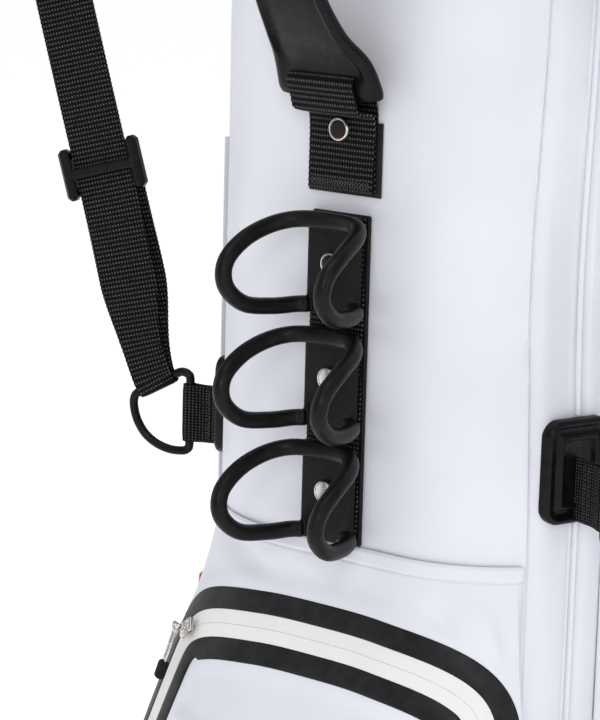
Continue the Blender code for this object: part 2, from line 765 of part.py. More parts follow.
def make_strap_anchor():
    """The moulded plate on the body and the webbing tab that holds the ring."""
    axes = strap_axes()
    plate = box(
        strap_place(PLATE_FACE - 0.006, PLATE_MIDDLE),
        (0.012, 0.045, 0.061),
        axes,
        bevel=0.0025,
        look="black_plastic",
        name="strap_plate_left",
    )
    cut(plate, body_prism(GAP))
    bend = RING_WIRE + GAP + STRAP_WEBBING / 2 + 0.0002
    leg = [(PLATE_FACE + 2 * GAP, 0.0013), (0.021, 0.0014), (0.0255, 0.0027)]
    loop = [leg[0], leg[1], leg[2]]
    for step in range(7):
        angle = math.radians(100 - step * 200 / 6)
        loop.append((STRAP_AXIS + bend * math.cos(angle), bend * math.sin(angle)))
    loop += [(out, -turn) for out, turn in reversed(leg)]
    points = [strap_place(out, RING_MIDDLE, turn) for out, turn in loop]
    ribbon("strap_tab_left", points, Vector((0, 0, 1)), 0.0365, STRAP_WEBBING, "black_webbing")


def make_ring():
    """The lower ring. Its straight bar is on the strap's axis, and the webbing folds over its slanting bar."""
    corners = [(0.0300, 0.4570), (0.0300, 0.4770), (0.0300, 0.4975), (0.0315, 0.5015), (0.0355, 0.5027)]
    corners += [(0.0400, 0.5010), (0.0525, 0.4940), (0.0650, 0.4870), (0.0682, 0.4825), (0.0680, 0.4760)]
    corners += [(0.0655, 0.4680), (0.0600, 0.4600), (0.0520, 0.4545), (0.0430, 0.4518), (0.0350, 0.4518)]
    corners += [(0.0315, 0.4532)]
    points = [strap_place(out, z) for out, z in corners]
    tube("strap_ring_left", points, RING_WIRE, "black_plastic", cyclic=True, resolution=2, origin=strap_origin())


def strap_origin():
    return strap_place(STRAP_AXIS, RING_MIDDLE)


def make_strap_webbing():
    """Webbing from the pad down through the adjuster, round the ring and back up behind."""
    fold = 0.0040
    inner = Vector((0.0525 - 0.489 * fold, 0.4940 - 0.872 * fold))
    places = [(0.1205, 0.7370, 0.0), (0.1190, 0.7310, 0.0), (0.1075, 0.6888, 0.0010), (0.0910, 0.6280, 0.0015)]
    places += [(0.0830, 0.5985, 0.0020), (0.0730, 0.5600, 0.0032), (0.0635, 0.5220, 0.0042)]
    places += [(0.0560, 0.5008, fold), (0.0525, 0.4940, fold), (0.0512, 0.4916, 0.75 * fold)]
    places += [(inner.x, inner.y, 0.0), (0.0512, 0.4916, -0.75 * fold), (0.0525, 0.4940, -fold)]
    places += [(0.0560, 0.5008, -fold), (0.0610, 0.5220, -0.0052), (0.0695, 0.5600, -0.0062)]
    places += [(0.0800, 0.5985, -0.0062), (0.0880, 0.6280, -0.0062), (0.0910, 0.6400, -0.0062)]
    points = [strap_place(*place_on) for place_on in places]
    steep = strap_axes() @ Vector((0.965, 0, -0.262))
    slant = strap_axes() @ Vector((0.872, 0, -0.489))
    across, width = [], []
    for out, z, turn in places:
        toward_ring = ease((0.56 - z) / 0.05)
        across.append((steep * (1 - toward_ring) + slant * toward_ring).normalized())
        width.append(STRAP_WIDTH + (0.026 - STRAP_WIDTH) * toward_ring)
    ribbon("strap_webbing_left", points, across, width, STRAP_WEBBING, "black_webbing", origin=strap_origin())


def make_adjuster():
    """A ladder-lock: two side bars, a bar in front of the webbing and two bars behind it."""
    centre = strap_place(0.0910, ADJUSTER_Z, 0.0015)
    down = (strap_axes() @ Vector((-0.262, 0, -0.965))).normalized()
    across = (strap_axes() @ Vector((0.965, 0, -0.262))).normalized()
    front = strap_axes() @ Vector((0, 1, 0))
    axes = Matrix((across, down, front)).transposed()
    clear = STRAP_WEBBING / 2 + 0.0006
    bars = []
    for side in (-1, 1):
        bars.append(box(centre + across * side * 0.0235, (0.0075, 0.033, 0.0100), axes, bevel=0.0025))
    bars.append(box(centre + front * (clear + 0.0015), (0.046, 0.0065, 0.0030), axes, bevel=0.0010))
    for side in (-1, 1):
        middle = centre + down * side * 0.0120 - front * (clear + 0.0012)
        bars.append(box(middle, (0.046, 0.0055, 0.0024), axes, bevel=0.0008))
    fused("strap_adjuster_left", bars, "black_plastic", centre)


def make_pad():
    """The shoulder pad: up from the webbing, over, and back to the swivel, turning to face the shoulder."""
    places = [(0.1212, 0.7400), (0.1285, 0.7680), (0.1345, 0.7960), (0.1330, 0.8280), (0.1200, 0.8530)]
    places += [(0.0980, 0.8660), (0.0760, 0.8620), (0.0610, 0.8430), (0.0545, 0.8200)]
    path = curve_through(places, 2)
    count = len(path)
    rows = []
    for index, (out, z) in enumerate(path):
        share = index / (count - 1)
        ahead = path[min(index + 1, count - 1)] - path[max(index - 1, 0)]
        tangent = (strap_axes() @ Vector((ahead.x, 0, ahead.y))).normalized()
        toward = strap_axes() @ Vector((0, 1, 0))
        flat = tangent.cross(toward)
        turn = math.radians(88) * ease(share / 0.62)
        across = flat * math.cos(turn) + toward * math.sin(turn)
        normal = tangent.cross(across)
        swell = ease(share / 0.12) * ease((1 - share) / 0.16)
        half = (STRAP_WIDTH + 0.034 * swell) / 2
        thick = (0.0040 + 0.0060 * swell) / 2
        ring = []
        for x, y in ((1, 0.4), (0.9, 1), (-0.9, 1), (-1, 0.4), (-1, -0.4), (-0.9, -1), (0.9, -1), (1, -0.4)):
            ring.append(strap_place(out, z) + across * half * x + normal * thick * y)
        rows.append(ring)
    loft("shoulder_pad_left", rows, "black_webbing", origin=strap_place(STRAP_AXIS, SWIVEL_Z))


def make_swivel():
    """The top anchor: a bracket on the collar whose two lugs hold the swivel's barrel."""
    axes = strap_axes()
    origin = strap_place(STRAP_AXIS, SWIVEL_Z)
    barrel = rod(origin, (0, 0, 1), 0.0045, 0.026, 16)
    arm = box(strap_place(STRAP_AXIS + 0.009, SWIVEL_Z), (0.018, 0.010, 0.012), axes, bevel=0.0015)
    bar = box(strap_place(STRAP_AXIS + 0.0190, SWIVEL_Z), (0.0060, 0.044, 0.0060), axes, bevel=0.0015)
    swivel = fused("strap_swivel_left", [barrel, arm, bar], "black_plastic", origin)
    cut(swivel, rod(origin, (0, 0, 1), 0.0018, 0.1, 12, name="barrel_cutter"))

    foot = box(strap_place(COLLAR_OUT - 0.001, SWIVEL_Z), (0.008, 0.032, 0.040), axes, bevel=0.0015)
    pieces = [foot]
    for side in (-1, 1):
        middle = strap_place(0.5 * (STRAP_AXIS + 0.0155), SWIVEL_Z + side * 0.0155)
        pieces.append(box(middle, (0.0245, 0.012, 0.0044), axes, bevel=0.0012))
    bracket = fused("strap_bracket_left", pieces, "black_plastic")
    cut(bracket, body_prism(COLLAR_OUT + GAP))
    cut(bracket, rod(origin, (0, 0, 1), 0.0018, 0.1, 12, name="lug_cutter"))
    rod(origin, (0, 0, 1), 0.0015, 0.0360, 12, "nickel", "strap_pin_left")


def make_straps():
    make_strap_anchor()
    make_ring()
    make_strap_webbing()
    make_adjuster()
    make_pad()
    make_swivel()
    pieces = ("strap_plate", "strap_tab", "strap_ring", "strap_webbing", "strap_adjuster", "shoulder_pad")
    for piece in (*pieces, "strap_swivel", "strap_bracket", "strap_pin"):
        mirrored(PARTS.objects[f"{piece}_left"], f"{piece}_right")


# Sewn trim on the body.


def make_side_loop():
    """A short webbing loop on the left side, sewn at its lower end into a folded bright tab."""
    normal = outline(LOOP_U)[1]
    across = Vector((0, 0, 1)).cross(normal)
    strap = [(0.0014, 0.4400), (0.0025, 0.4250), (0.0050, 0.4100), (0.0078, 0.3980), (0.0105, 0.3850)]
    strap += [(0.0118, 0.3760), (0.0122, 0.3680)]
    points = [on_body(LOOP_U, lift, z) for lift, z in strap]
    ribbon("side_loop", points, across, 0.010, 0.0014, "black_webbing")
    tab = [(0.0014, 0.4000), (0.0030, 0.3920), (0.0062, 0.3840), (0.0080, 0.3740), (0.0085, 0.3640)]
    tab += [(0.0100, 0.3602), (0.0125, 0.3588), (0.0150, 0.3602), (0.0165, 0.3640), (0.0160, 0.3770)]
    points = [on_body(LOOP_U, lift, z) for lift, z in tab]
    ribbon("side_loop_tab", points, across, 0.012, 0.0014, "orange_webbing")


clear_scene()
PARTS = new_collection("golf_staff_bag")
CUTTERS = new_collection("cutters")

make_body()
make_base()
make_collar()
make_dividers()
make_pockets()
make_zips()
make_sliders()
make_handle()
make_handle_tab()
make_rivet("handle_rivet", 0.0053, 0.0006, HANDLE_RIVET_Z, "dark_bronze")
make_hooks()
make_straps()
make_side_loop()
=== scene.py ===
"""The looks of a golf staff bag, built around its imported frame.

Metres, +Z up, and the spine with the handle and the ring hooks faces -Y. A place on the bag's rounded
outline is written as u, the distance along it from the middle of the spine, positive towards +X, and lift,
the distance outward.
"""

import json
import math

import bmesh
import bpy
import numpy as np
from mathutils import Matrix, Vector, noise


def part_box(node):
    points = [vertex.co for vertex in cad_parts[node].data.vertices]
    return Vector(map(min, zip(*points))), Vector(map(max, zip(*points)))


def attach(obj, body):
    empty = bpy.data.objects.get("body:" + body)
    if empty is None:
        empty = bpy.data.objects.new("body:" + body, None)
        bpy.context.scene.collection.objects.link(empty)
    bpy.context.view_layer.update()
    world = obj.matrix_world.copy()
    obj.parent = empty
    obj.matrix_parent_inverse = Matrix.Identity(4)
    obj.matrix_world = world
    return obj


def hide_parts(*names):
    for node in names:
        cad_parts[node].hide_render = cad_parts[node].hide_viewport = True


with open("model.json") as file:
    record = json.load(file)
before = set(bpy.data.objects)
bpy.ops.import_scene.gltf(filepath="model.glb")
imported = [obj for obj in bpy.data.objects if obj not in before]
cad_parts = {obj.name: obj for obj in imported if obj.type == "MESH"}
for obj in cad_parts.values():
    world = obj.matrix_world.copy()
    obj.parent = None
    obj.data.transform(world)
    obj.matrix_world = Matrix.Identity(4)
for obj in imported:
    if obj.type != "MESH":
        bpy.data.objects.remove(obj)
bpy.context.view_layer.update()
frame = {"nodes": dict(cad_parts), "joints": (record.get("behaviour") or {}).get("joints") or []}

# The body's outline, from the frame.
SHELL_LOW, SHELL_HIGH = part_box("body_shell")
HALF_WIDTH, HALF_DEPTH, BODY_TOP = SHELL_HIGH
BODY_BOTTOM = SHELL_LOW.z
CORNER = 0.085
WALL = 0.003
GAP = 0.0003
SKIN = 0.002
FRONT_FLAT = HALF_WIDTH - CORNER
SIDE_FLAT = HALF_DEPTH - CORNER
QUARTER = CORNER * math.pi / 2
HALF_ROUND = 2 * (FRONT_FLAT + SIDE_FLAT + QUARTER)

# The seams that run up the body.
SEAM = 0.1235
RIDGE = 0.0065
PIPING = 0.1560
PIPING_RADIUS = 0.0017

# The base cup, the collar and the feet.
CUP_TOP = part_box("base_cup")[1].z
CUP_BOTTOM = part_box("base_cup")[0].z
CUP_WALL = 0.0032
COLLAR_SKIRT = 0.772
COLLAR_TOP = 0.865
COLLAR_SLOPE = 0.12
COLLAR_OUT = 0.0085
COLLAR_IN = -0.011

# The pockets.
FRONT_BOTTOM, FRONT_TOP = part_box("front_pocket")[0].z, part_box("front_pocket")[1].z
FRONT_EDGE = 0.1215
FRONT_DEPTH = 0.078
FRONT_WALL = (48.6, 51.4)
SEAM_BAND = 0.0085
SIDE_START, SIDE_END, SIDE_DEPTH = 0.178, 0.330, 0.042
SIDE_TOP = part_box("side_pocket_right")[1].z
BACK_EDGE, BACK_DEPTH = 0.352, 0.064
BACK_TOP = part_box("back_pocket")[1].z
POCKET_BOTTOM = 0.0735

# The zip arch on the front pocket.
ARCH_TOP = 0.397
ARCH_HALF_WIDTH = 0.117
ARCH_DROP = 0.066
ARCH_BOTTOM = 0.120
ARCH_LEAN = 0.96
BAND = 0.0135
TAPE = 0.0168
BAND_LIFT = 0.0022
PLATEAU = 0.0015

# The handle and the hooks. A place is (out, z), with out measured from the spine's face.
HANDLE_THICKNESS = 0.0125
HANDLE_END = (0.0145, 0.697)
SLOT = (0.048, 0.006)
TAB_WIDTH = 0.046
TAB_BOTTOM = 0.641
WEBBING = 0.002
HANDLE_RIVET_Z = 0.6763
RIVET_RADIUS = 0.007
HOOK_ROOTS = (0.5737, 0.5065, 0.4393)
HOOK_TUBE = 0.005
HOOK_RIVET = 0.0255
PLATE_THICKNESS = 0.0035
PLATE_WIDTH = 0.038
PLATE_LOW, PLATE_HIGH = -0.005, 0.054
BACKING_THICKNESS = 0.003

# The shoulder straps. A place is (out, z, turn), from the outline at STRAP_U.
STRAP_U = 0.151
STRAP_AXIS = 0.030
STRAP_WEBBING = 0.0015
STRAP_WIDTH = 0.038
RING_WIRE = 0.00275
RING_MIDDLE = 0.47725
PLATE_MIDDLE = 0.4880
PLATE_FACE = 0.007
LOOP_U = -0.142

# Webbing weave: the pitch of its cross ribs and of the yarns in a rib.
RIB = 0.0029
YARN = 0.0020


# Materials.


def new_material(name, colour, roughness, metallic=0.0, specular=0.5):
    """A material with a Principled shader, and its node tree and shader."""
    made = bpy.data.materials.new(name)
    made.use_nodes = True
    tree = made.node_tree
    shader = tree.nodes["Principled BSDF"]
    shader.inputs["Base Color"].default_value = (*colour, 1.0)
    shader.inputs["Roughness"].default_value = roughness
    shader.inputs["Metallic"].default_value = metallic
    shader.inputs["Specular IOR Level"].default_value = specular
    return made, tree, shader


def add_node(tree, kind, inputs=(), **settings):
    """A node with its settings, and with each input given a value or linked to a socket."""
    node = tree.nodes.new(kind)
    for key, value in settings.items():
        setattr(node, key, value)
    for key, value in dict(inputs).items():
        if isinstance(value, bpy.types.NodeSocket):
            tree.links.new(value, node.inputs[key])
        else:
            node.inputs[key].default_value = value
    return node


def math_node(tree, operation, first, second=0.0, clamp=False):
    inputs = {0: first, 1: second}
    return add_node(tree, "ShaderNodeMath", inputs, operation=operation, use_clamp=clamp).outputs[0]


def ramp(tree, factor, stops):
    """A colour ramp from (place, colour) stops."""
    node = add_node(tree, "ShaderNodeValToRGB", {"Fac": factor})
    elements = node.color_ramp.elements
    while len(elements) < len(stops):
        elements.new(0.5)
    for element, (place, colour) in zip(elements, stops):
        element.position = place
        element.color = (*colour, 1.0)
    return node.outputs["Color"]


def object_noise(tree, scale, detail=3.0, roughness=0.5):
    place = add_node(tree, "ShaderNodeTexCoord").outputs["Object"]
    inputs = {"Vector": place, "Scale": scale, "Detail": detail, "Roughness": roughness}
    return add_node(tree, "ShaderNodeTexNoise", inputs).outputs["Fac"]


def bump(tree, shader, height, distance, strength=1.0, under=None):
    inputs = {"Height": height, "Distance": distance, "Strength": strength}
    if under:
        inputs["Normal"] = under
    normal = add_node(tree, "ShaderNodeBump", inputs).outputs["Normal"]
    tree.links.new(normal, shader.inputs["Normal"])
    return normal


def varied(tree, shader, scale, dark, light, low=0.35, high=0.65):
    """Cloudy variation of the base colour between two close colours."""
    cloud = object_noise(tree, scale, 2.0)
    tree.links.new(ramp(tree, cloud, [(low, dark), (high, light)]), shader.inputs["Base Color"])


def varied_roughness(tree, shader, scale, low, high):
    cloud = object_noise(tree, scale, 4.0)
    inputs = {"Value": cloud, "From Min": 0.3, "From Max": 0.7, "To Min": low, "To Max": high}
    shade = add_node(tree, "ShaderNodeMapRange", inputs)
    tree.links.new(shade.outputs["Result"], shader.inputs["Roughness"])


def skin_material():
    """Smooth coated white skin: a faint leather grain and a soft satin sheen."""
    made, tree, shader = new_material("white_skin", (0.73, 0.732, 0.778), 0.46, specular=0.35)
    varied(tree, shader, 9.0, (0.700, 0.703, 0.752), (0.748, 0.750, 0.795))
    varied_roughness(tree, shader, 60.0, 0.40, 0.54)
    pebble = add_node(
        tree,
        "ShaderNodeTexVoronoi",
        {"Vector": add_node(tree, "ShaderNodeTexCoord").outputs["Object"], "Scale": 1100.0},
        feature="SMOOTH_F1",
    )
    coarse = bump(tree, shader, object_noise(tree, 220.0, 3.0), 0.00006, 0.5)
    bump(tree, shader, pebble.outputs["Distance"], 0.00004, 0.5, coarse)
    return made


def plastic_material(name, colour, roughness, grain, specular=0.3):
    """Moulded plastic: a spark-eroded grain and slightly uneven gloss."""
    made, tree, shader = new_material(name, colour, roughness, specular=specular)
    lighter = tuple(value * 1.7 + 0.001 for value in colour)
    varied(tree, shader, 130.0, colour, lighter)
    varied_roughness(tree, shader, 400.0, roughness - 0.06, roughness + 0.08)
    bump(tree, shader, object_noise(tree, 1900.0, 4.0, 0.65), grain, 0.9)
    return made


def tape_material():
    """Coated zip tape, slightly warm, with a fine dimpled grain."""
    made, tree, shader = new_material("zip_tape", (0.80, 0.80, 0.77), 0.52, specular=0.35)
    varied(tree, shader, 800.0, (0.775, 0.775, 0.745), (0.80, 0.80, 0.77))
    varied_roughness(tree, shader, 300.0, 0.46, 0.60)
    bump(tree, shader, object_noise(tree, 1500.0, 3.0), 0.00004, 0.6)
    return made


def metal_material(name, colour, roughness, fleck):
    made, tree, shader = new_material(name, colour, roughness, metallic=1.0)
    darker = tuple(value * 0.86 for value in colour)
    varied(tree, shader, 500.0, darker, colour)
    varied_roughness(tree, shader, 900.0, roughness - 0.03, roughness + 0.07)
    bump(tree, shader, object_noise(tree, 700.0, 2.0), fleck, 0.4)
    return made


def woven_material(name, ground, painted_glint, roughness=0.72):
    """Webbing. Its UV map counts ribs along it and yarns across it, and each rib's crest shows lit yarns as a
    painted highlight: lighter dashes mixed into the base colour.
    """
    made, tree, shader = new_material(name, ground, roughness, specular=0.10)
    place = add_node(tree, "ShaderNodeSeparateXYZ", {0: add_node(tree, "ShaderNodeUVMap").outputs["UV"]})
    along, across = place.outputs[0], place.outputs[1]
    turn = 2 * math.pi
    rib = math_node(tree, "SINE", math_node(tree, "MULTIPLY", along, turn))
    row = math_node(tree, "MULTIPLY", math_node(tree, "FLOOR", along), 0.5)
    slant = math_node(tree, "MULTIPLY", along, 0.45)
    shifted = math_node(tree, "ADD", math_node(tree, "ADD", across, row), slant)
    yarn = math_node(tree, "SINE", math_node(tree, "MULTIPLY", shifted, turn))
    crest = math_node(tree, "MULTIPLY_ADD", rib, 0.5)
    crest.node.inputs[2].default_value = 0.5
    thread = math_node(tree, "MULTIPLY_ADD", yarn, 0.5)
    thread.node.inputs[2].default_value = 0.5
    sharp_crest = math_node(tree, "POWER", crest, 2.0)
    dash = math_node(tree, "MULTIPLY", sharp_crest, math_node(tree, "POWER", thread, 1.6))
    speck = object_noise(tree, 700.0, 2.0)
    painted_highlight = math_node(tree, "MULTIPLY", dash, math_node(tree, "MULTIPLY", speck, 1.7), clamp=True)
    # Painted highlight: the crest dashes lift the base colour from the ground colour towards the glint colour.
    colour = ramp(tree, painted_highlight, [(0.12, ground), (0.75, painted_glint)])
    tree.links.new(colour, shader.inputs["Base Color"])
    shader.inputs["Sheen Weight"].default_value = 0.03
    shader.inputs["Sheen Roughness"].default_value = 0.4
    fuzz = bump(tree, shader, object_noise(tree, 1600.0, 3.0), 0.00006, 0.5)
    bump(tree, shader, dash, 0.00035, 0.9, fuzz)
    return made


def mesh_fabric_material():
    """Spacer mesh over foam: small round cells."""
    made, tree, shader = new_material("black_pad", (0.012, 0.012, 0.013), 0.85, specular=0.2)
    place = add_node(tree, "ShaderNodeTexCoord").outputs["Object"]
    cells = add_node(tree, "ShaderNodeTexVoronoi", {"Vector": place, "Scale": 480.0}, feature="F1")
    stops = [(0.25, (0.004, 0.004, 0.004)), (0.5, (0.022, 0.022, 0.024))]
    hole = ramp(tree, cells.outputs["Distance"], stops)
    tree.links.new(hole, shader.inputs["Base Color"])
    shader.inputs["Sheen Weight"].default_value = 0.2
    bump(tree, shader, cells.outputs["Distance"], 0.0005, 0.8)
    return made


def lining_material():
    made, tree, shader = new_material("black_lining", (0.020, 0.020, 0.022), 0.92, specular=0.15)
    varied(tree, shader, 260.0, (0.014, 0.014, 0.015), (0.030, 0.030, 0.033))
    shader.inputs["Sheen Weight"].default_value = 0.35
    bump(tree, shader, object_noise(tree, 1200.0, 4.0), 0.00025, 0.8)
    return made


def thread_material():
    made, tree, shader = new_material("black_thread", (0.055, 0.055, 0.056), 0.5, specular=0.5)
    varied(tree, shader, 900.0, (0.014, 0.014, 0.015), (0.060, 0.060, 0.062))
    bump(tree, shader, object_noise(tree, 2500.0, 2.0), 0.0001, 0.6)
    return made


LOOKS = {
    "white_skin": skin_material(),
    "black_plastic": plastic_material("black_plastic", (0.0030, 0.0030, 0.0031), 0.36, 0.00006, 0.16),
    "gloss_plastic": plastic_material("gloss_plastic", (0.0030, 0.0030, 0.0032), 0.30, 0.00003, 0.15),
    "black_rubber": plastic_material("black_rubber", (0.008, 0.008, 0.008), 0.72, 0.00012, 0.15),
    "black_trim": plastic_material("black_trim", (0.0080, 0.0084, 0.0084), 0.42, 0.00003, 0.18),
    "black_lining": lining_material(),
    "zip_tape": tape_material(),
    "nickel": metal_material("nickel", (0.66, 0.63, 0.59), 0.20, 0.00004),
    "dark_bronze": metal_material("dark_bronze", (0.034, 0.024, 0.020), 0.12, 0.00003),
    # The second colour of each webbing is the painted highlight on its rib crests.
    "black_webbing": woven_material("black_webbing", (0.0022, 0.0022, 0.0024), (0.110, 0.110, 0.112)),
    "orange_webbing": woven_material("orange_webbing", (0.80, 0.16, 0.015), (0.95, 0.30, 0.05)),
    "black_pad": mesh_fabric_material(),
    "thread": thread_material(),
}


# Tools.


def ease(value):
    value = min(max(value, 0.0), 1.0)
    return value * value * (3 - 2 * value)


def bell(value, middle, half):
    """1 at middle, falling smoothly to 0 at half on either side."""
    return ease(1 - abs(value - middle) / half)


def add_piece(name, mesh, look, body="bag", replaces=(), angle=50):
    """A named object with its look, riding on a body and standing for the nodes it replaces."""
    obj = bpy.data.objects.new(name, mesh)
    bpy.context.scene.collection.objects.link(obj)
    mesh.materials.clear()
    mesh.materials.append(LOOKS[look])
    mesh.shade_smooth()
    mesh.set_sharp_from_angle(angle=math.radians(angle))
    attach(obj, body)
    if replaces:
        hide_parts(*replaces)
    return obj


def outward_mesh(points, faces, uvs=None):
    """A mesh from points and faces, its faces turned outward. uvs gives each point's place in the weave."""
    mesh = bpy.data.meshes.new("mesh")
    mesh.from_pydata([tuple(point) for point in points], [], faces)
    if uvs is not None:
        layer = mesh.uv_layers.new(name="UVMap")
        corners = np.empty(len(mesh.loops), np.int32)
        mesh.loops.foreach_get("vertex_index", corners)
        layer.data.foreach_set("uv", np.asarray(uvs, np.float32)[corners].reshape(-1))
    work = bmesh.new()
    work.from_mesh(mesh)
    bmesh.ops.recalc_face_normals(work, faces=work.faces)
    work.to_mesh(mesh)
    work.free()
    return mesh


def grid_faces(rows, columns, closed=False):
    faces = []
    for row in range(rows - 1):
        for column in range(columns if closed else columns - 1):
            beside = (column + 1) % columns
            low, high = row * columns, (row + 1) * columns
            faces.append((low + column, low + beside, high + beside, high + column))
    return faces


def tube_mesh(rings, uvs=None, cyclic=False):
    """A closed solid through rings of the same number of points, capped at its ends unless cyclic."""
    count = len(rings[0])
    faces = grid_faces(len(rings), count, closed=True)
    last = (len(rings) - 1) * count
    if cyclic:
        for index in range(count):
            beside = (index + 1) % count
            faces.append((last + index, last + beside, beside, index))
    else:
        faces.append(tuple(reversed(range(count))))
        faces.append(tuple(range(last, last + count)))
    return outward_mesh([point for ring in rings for point in ring], faces, uvs)


def sheet_mesh(outer, inner, closed=False):
    """A closed solid between two grids of points, row by row."""
    rows, columns = len(outer), len(outer[0])
    points = [point for row in outer for point in row] + [point for row in inner for point in row]
    shift = rows * columns
    faces = grid_faces(rows, columns, closed)
    faces += [tuple(shift + index for index in reversed(face)) for face in faces]
    for row in (0, (rows - 1) * columns):
        for column in range(columns if closed else columns - 1):
            beside = (column + 1) % columns
            faces.append((row + column, row + beside, shift + row + beside, shift + row + column))
    if not closed:
        for column in (0, columns - 1):
            for row in range(rows - 1):
                low, high = row * columns + column, (row + 1) * columns + column
                faces.append((low, high, shift + high, shift + low))
    return outward_mesh(points, faces)


def curve_through(points, steps, cyclic=False):
    """Points of a smooth curve through the given ones, with steps pieces to each stretch."""
    points = [Vector(point) for point in points]
    if cyclic:
        ends = [points[-1], *points, points[0], points[1]]
    else:
        ends = [2 * points[0] - points[1], *points, 2 * points[-1] - points[-2]]
    found = []
    for index in range(1, len(ends) - 2):
        before, start, end, after = ends[index - 1 : index + 3]
        for step in range(steps):
            t = step / steps
            curve = 2 * start + (end - before) * t
            curve += (2 * before - 5 * start + 4 * end - after) * t**2
            curve += (3 * start - before - 3 * end + after) * t**3
            found.append(0.5 * curve)
    return found if cyclic else [*found, points[-1]]


def evenly(points, spacing):
    """The same line with its points an even distance apart."""
    lengths = [0.0]
    for start, end in zip(points, points[1:]):
        lengths.append(lengths[-1] + (end - start).length)
    count = max(2, round(lengths[-1] / spacing))
    wanted = np.linspace(0, lengths[-1], count + 1)
    axes = [np.interp(wanted, lengths, [point[axis] for point in points]) for axis in range(len(points[0]))]
    return [Vector(values) for values in zip(*axes)]


def tangents(points, cyclic=False):
    found = []
    for index, point in enumerate(points):
        if cyclic:
            ahead = points[(index + 1) % len(points)] - points[index - 1]
        else:
            ahead = points[min(index + 1, len(points) - 1)] - points[max(index - 1, 0)]
        found.append(ahead.normalized())
    return found


def round_rod(points, radius, sides=16, cyclic=False, flatten=1.0, up=Vector((0, 0, 1))):
    """A round rod's rings along a line. radius is one value or one for every point."""
    rings = []
    radii = radius if isinstance(radius, list) else [radius] * len(points)
    side = None
    for point, tangent, wide in zip(points, tangents(points, cyclic), radii):
        if side is None:
            side = tangent.cross(up if abs(tangent.dot(up)) < 0.9 else Vector((0, 1, 0)))
        side = (side - tangent * side.dot(tangent)).normalized()
        top = tangent.cross(side)
        ring = []
        for step in range(sides):
            turn = 2 * math.pi * step / sides
            ring.append(point + (side * math.cos(turn) * flatten + top * math.sin(turn)) * wide)
        rings.append(ring)
    return rings


def lathe_mesh(profile, centre, axis, steps=48):
    """A turned solid. The profile is (radius, height) from the axis at the top to the axis at the bottom."""
    side = Vector(axis).orthogonal().normalized()
    other = Vector(axis).cross(side)
    points, faces = [], []
    for radius, height in profile[1:-1]:
        for step in range(steps):
            turn = 2 * math.pi * step / steps
            points.append(centre + axis * height + (side * math.cos(turn) + other * math.sin(turn)) * radius)
    rings = len(profile) - 2
    faces = grid_faces(rings, steps, closed=True)
    points += [centre + axis * profile[0][1], centre + axis * profile[-1][1]]
    top, bottom = len(points) - 2, len(points) - 1
    for step in range(steps):
        beside = (step + 1) % steps
        faces.append((step, beside, top))
        faces.append(((rings - 1) * steps + beside, (rings - 1) * steps + step, bottom))
    return outward_mesh(points, faces)


def joined(meshes):
    """One mesh holding all of them."""
    work = bmesh.new()
    for mesh in meshes:
        work.from_mesh(mesh)
    made = bpy.data.meshes.new("mesh")
    work.to_mesh(made)
    work.free()
    return made


def remeshed(mesh, voxel, smoothing=4, factor=0.5):
    """The mesh as one moulded skin with softened edges."""
    obj = bpy.data.objects.new("work", mesh)
    bpy.context.scene.collection.objects.link(obj)
    remesh = obj.modifiers.new("Remesh", "REMESH")
    remesh.mode = "VOXEL"
    remesh.voxel_size = voxel
    soften = obj.modifiers.new("Smooth", "SMOOTH")
    soften.factor = factor
    soften.iterations = smoothing
    bpy.context.view_layer.update()
    made = bpy.data.meshes.new_from_object(obj.evaluated_get(bpy.context.evaluated_depsgraph_get()))
    bpy.data.objects.remove(obj)
    return made


def moulded(node, look, body, voxel, smoothing=4):
    """A CAD node's shape with its edges rounded, standing for that node."""
    mesh = remeshed(frame["nodes"][node].data.copy(), voxel, smoothing)
    return add_piece(f"{node}_moulded", mesh, look, body, [node], angle=60)


def box_mesh(centre, size, axes=None, bevel=0.001, segments=3):
    work = bmesh.new()
    turn = (axes or Matrix.Identity(3)).to_4x4()
    scale = Matrix.Diagonal((*size, 1))
    bmesh.ops.create_cube(work, size=1, matrix=Matrix.Translation(centre) @ turn @ scale)
    bmesh.ops.bevel(work, geom=work.edges[:], offset=bevel, segments=segments, profile=0.5, affect="EDGES")
    mesh = bpy.data.meshes.new("box")
    work.to_mesh(mesh)
    work.free()
    return mesh


def webbing_mesh(path, across, width, thickness, rib=RIB, yarn=YARN, relief=0.00016):
    """Woven webbing along a path, with cross ribs in its faces and notched edges.

    across and width are functions of the share of the way along and of the point there.
    """
    points = evenly(path, rib / 6)
    rings, uvs = [], []
    walked = 0.0
    columns = 9
    for index, (point, tangent) in enumerate(zip(points, tangents(points))):
        walked += (point - points[index - 1]).length if index else 0.0
        share = index / (len(points) - 1)
        side = across(share, point)
        side = (side - tangent * side.dot(tangent)).normalized()
        normal = tangent.cross(side)
        wave = math.sin(2 * math.pi * walked / rib)
        half = width(share, point) / 2 + 0.00012 * wave
        ring = []
        for face in (1, -1):
            for column in range(columns):
                place = face * (2 * column / (columns - 1) - 1)
                edge = 1 - 0.45 * abs(place) ** 12
                rise = face * (thickness / 2 * edge + relief * wave * edge)
                ring.append(point + side * half * place + normal * rise)
                uvs.append((walked / rib, half * place / yarn))
        rings.append(ring)
    return tube_mesh(rings, uvs)


def stitch_mesh(starts, ends, radius=0.00028):
    """Short threads, each from its start to its end."""
    meshes = []
    for start, end in zip(starts, ends):
        work = bmesh.new()
        ahead = end - start
        turn = ahead.to_track_quat("X", "Z").to_matrix().to_4x4()
        scale = Matrix.Diagonal((ahead.length / 2, radius, radius, 1))
        matrix = Matrix.Translation((start + end) / 2) @ turn @ scale
        bmesh.ops.create_uvsphere(work, u_segments=8, v_segments=5, radius=1, matrix=matrix)
        mesh = bpy.data.meshes.new("stitch")
        work.to_mesh(mesh)
        work.free()
        meshes.append(mesh)
    return joined(meshes)


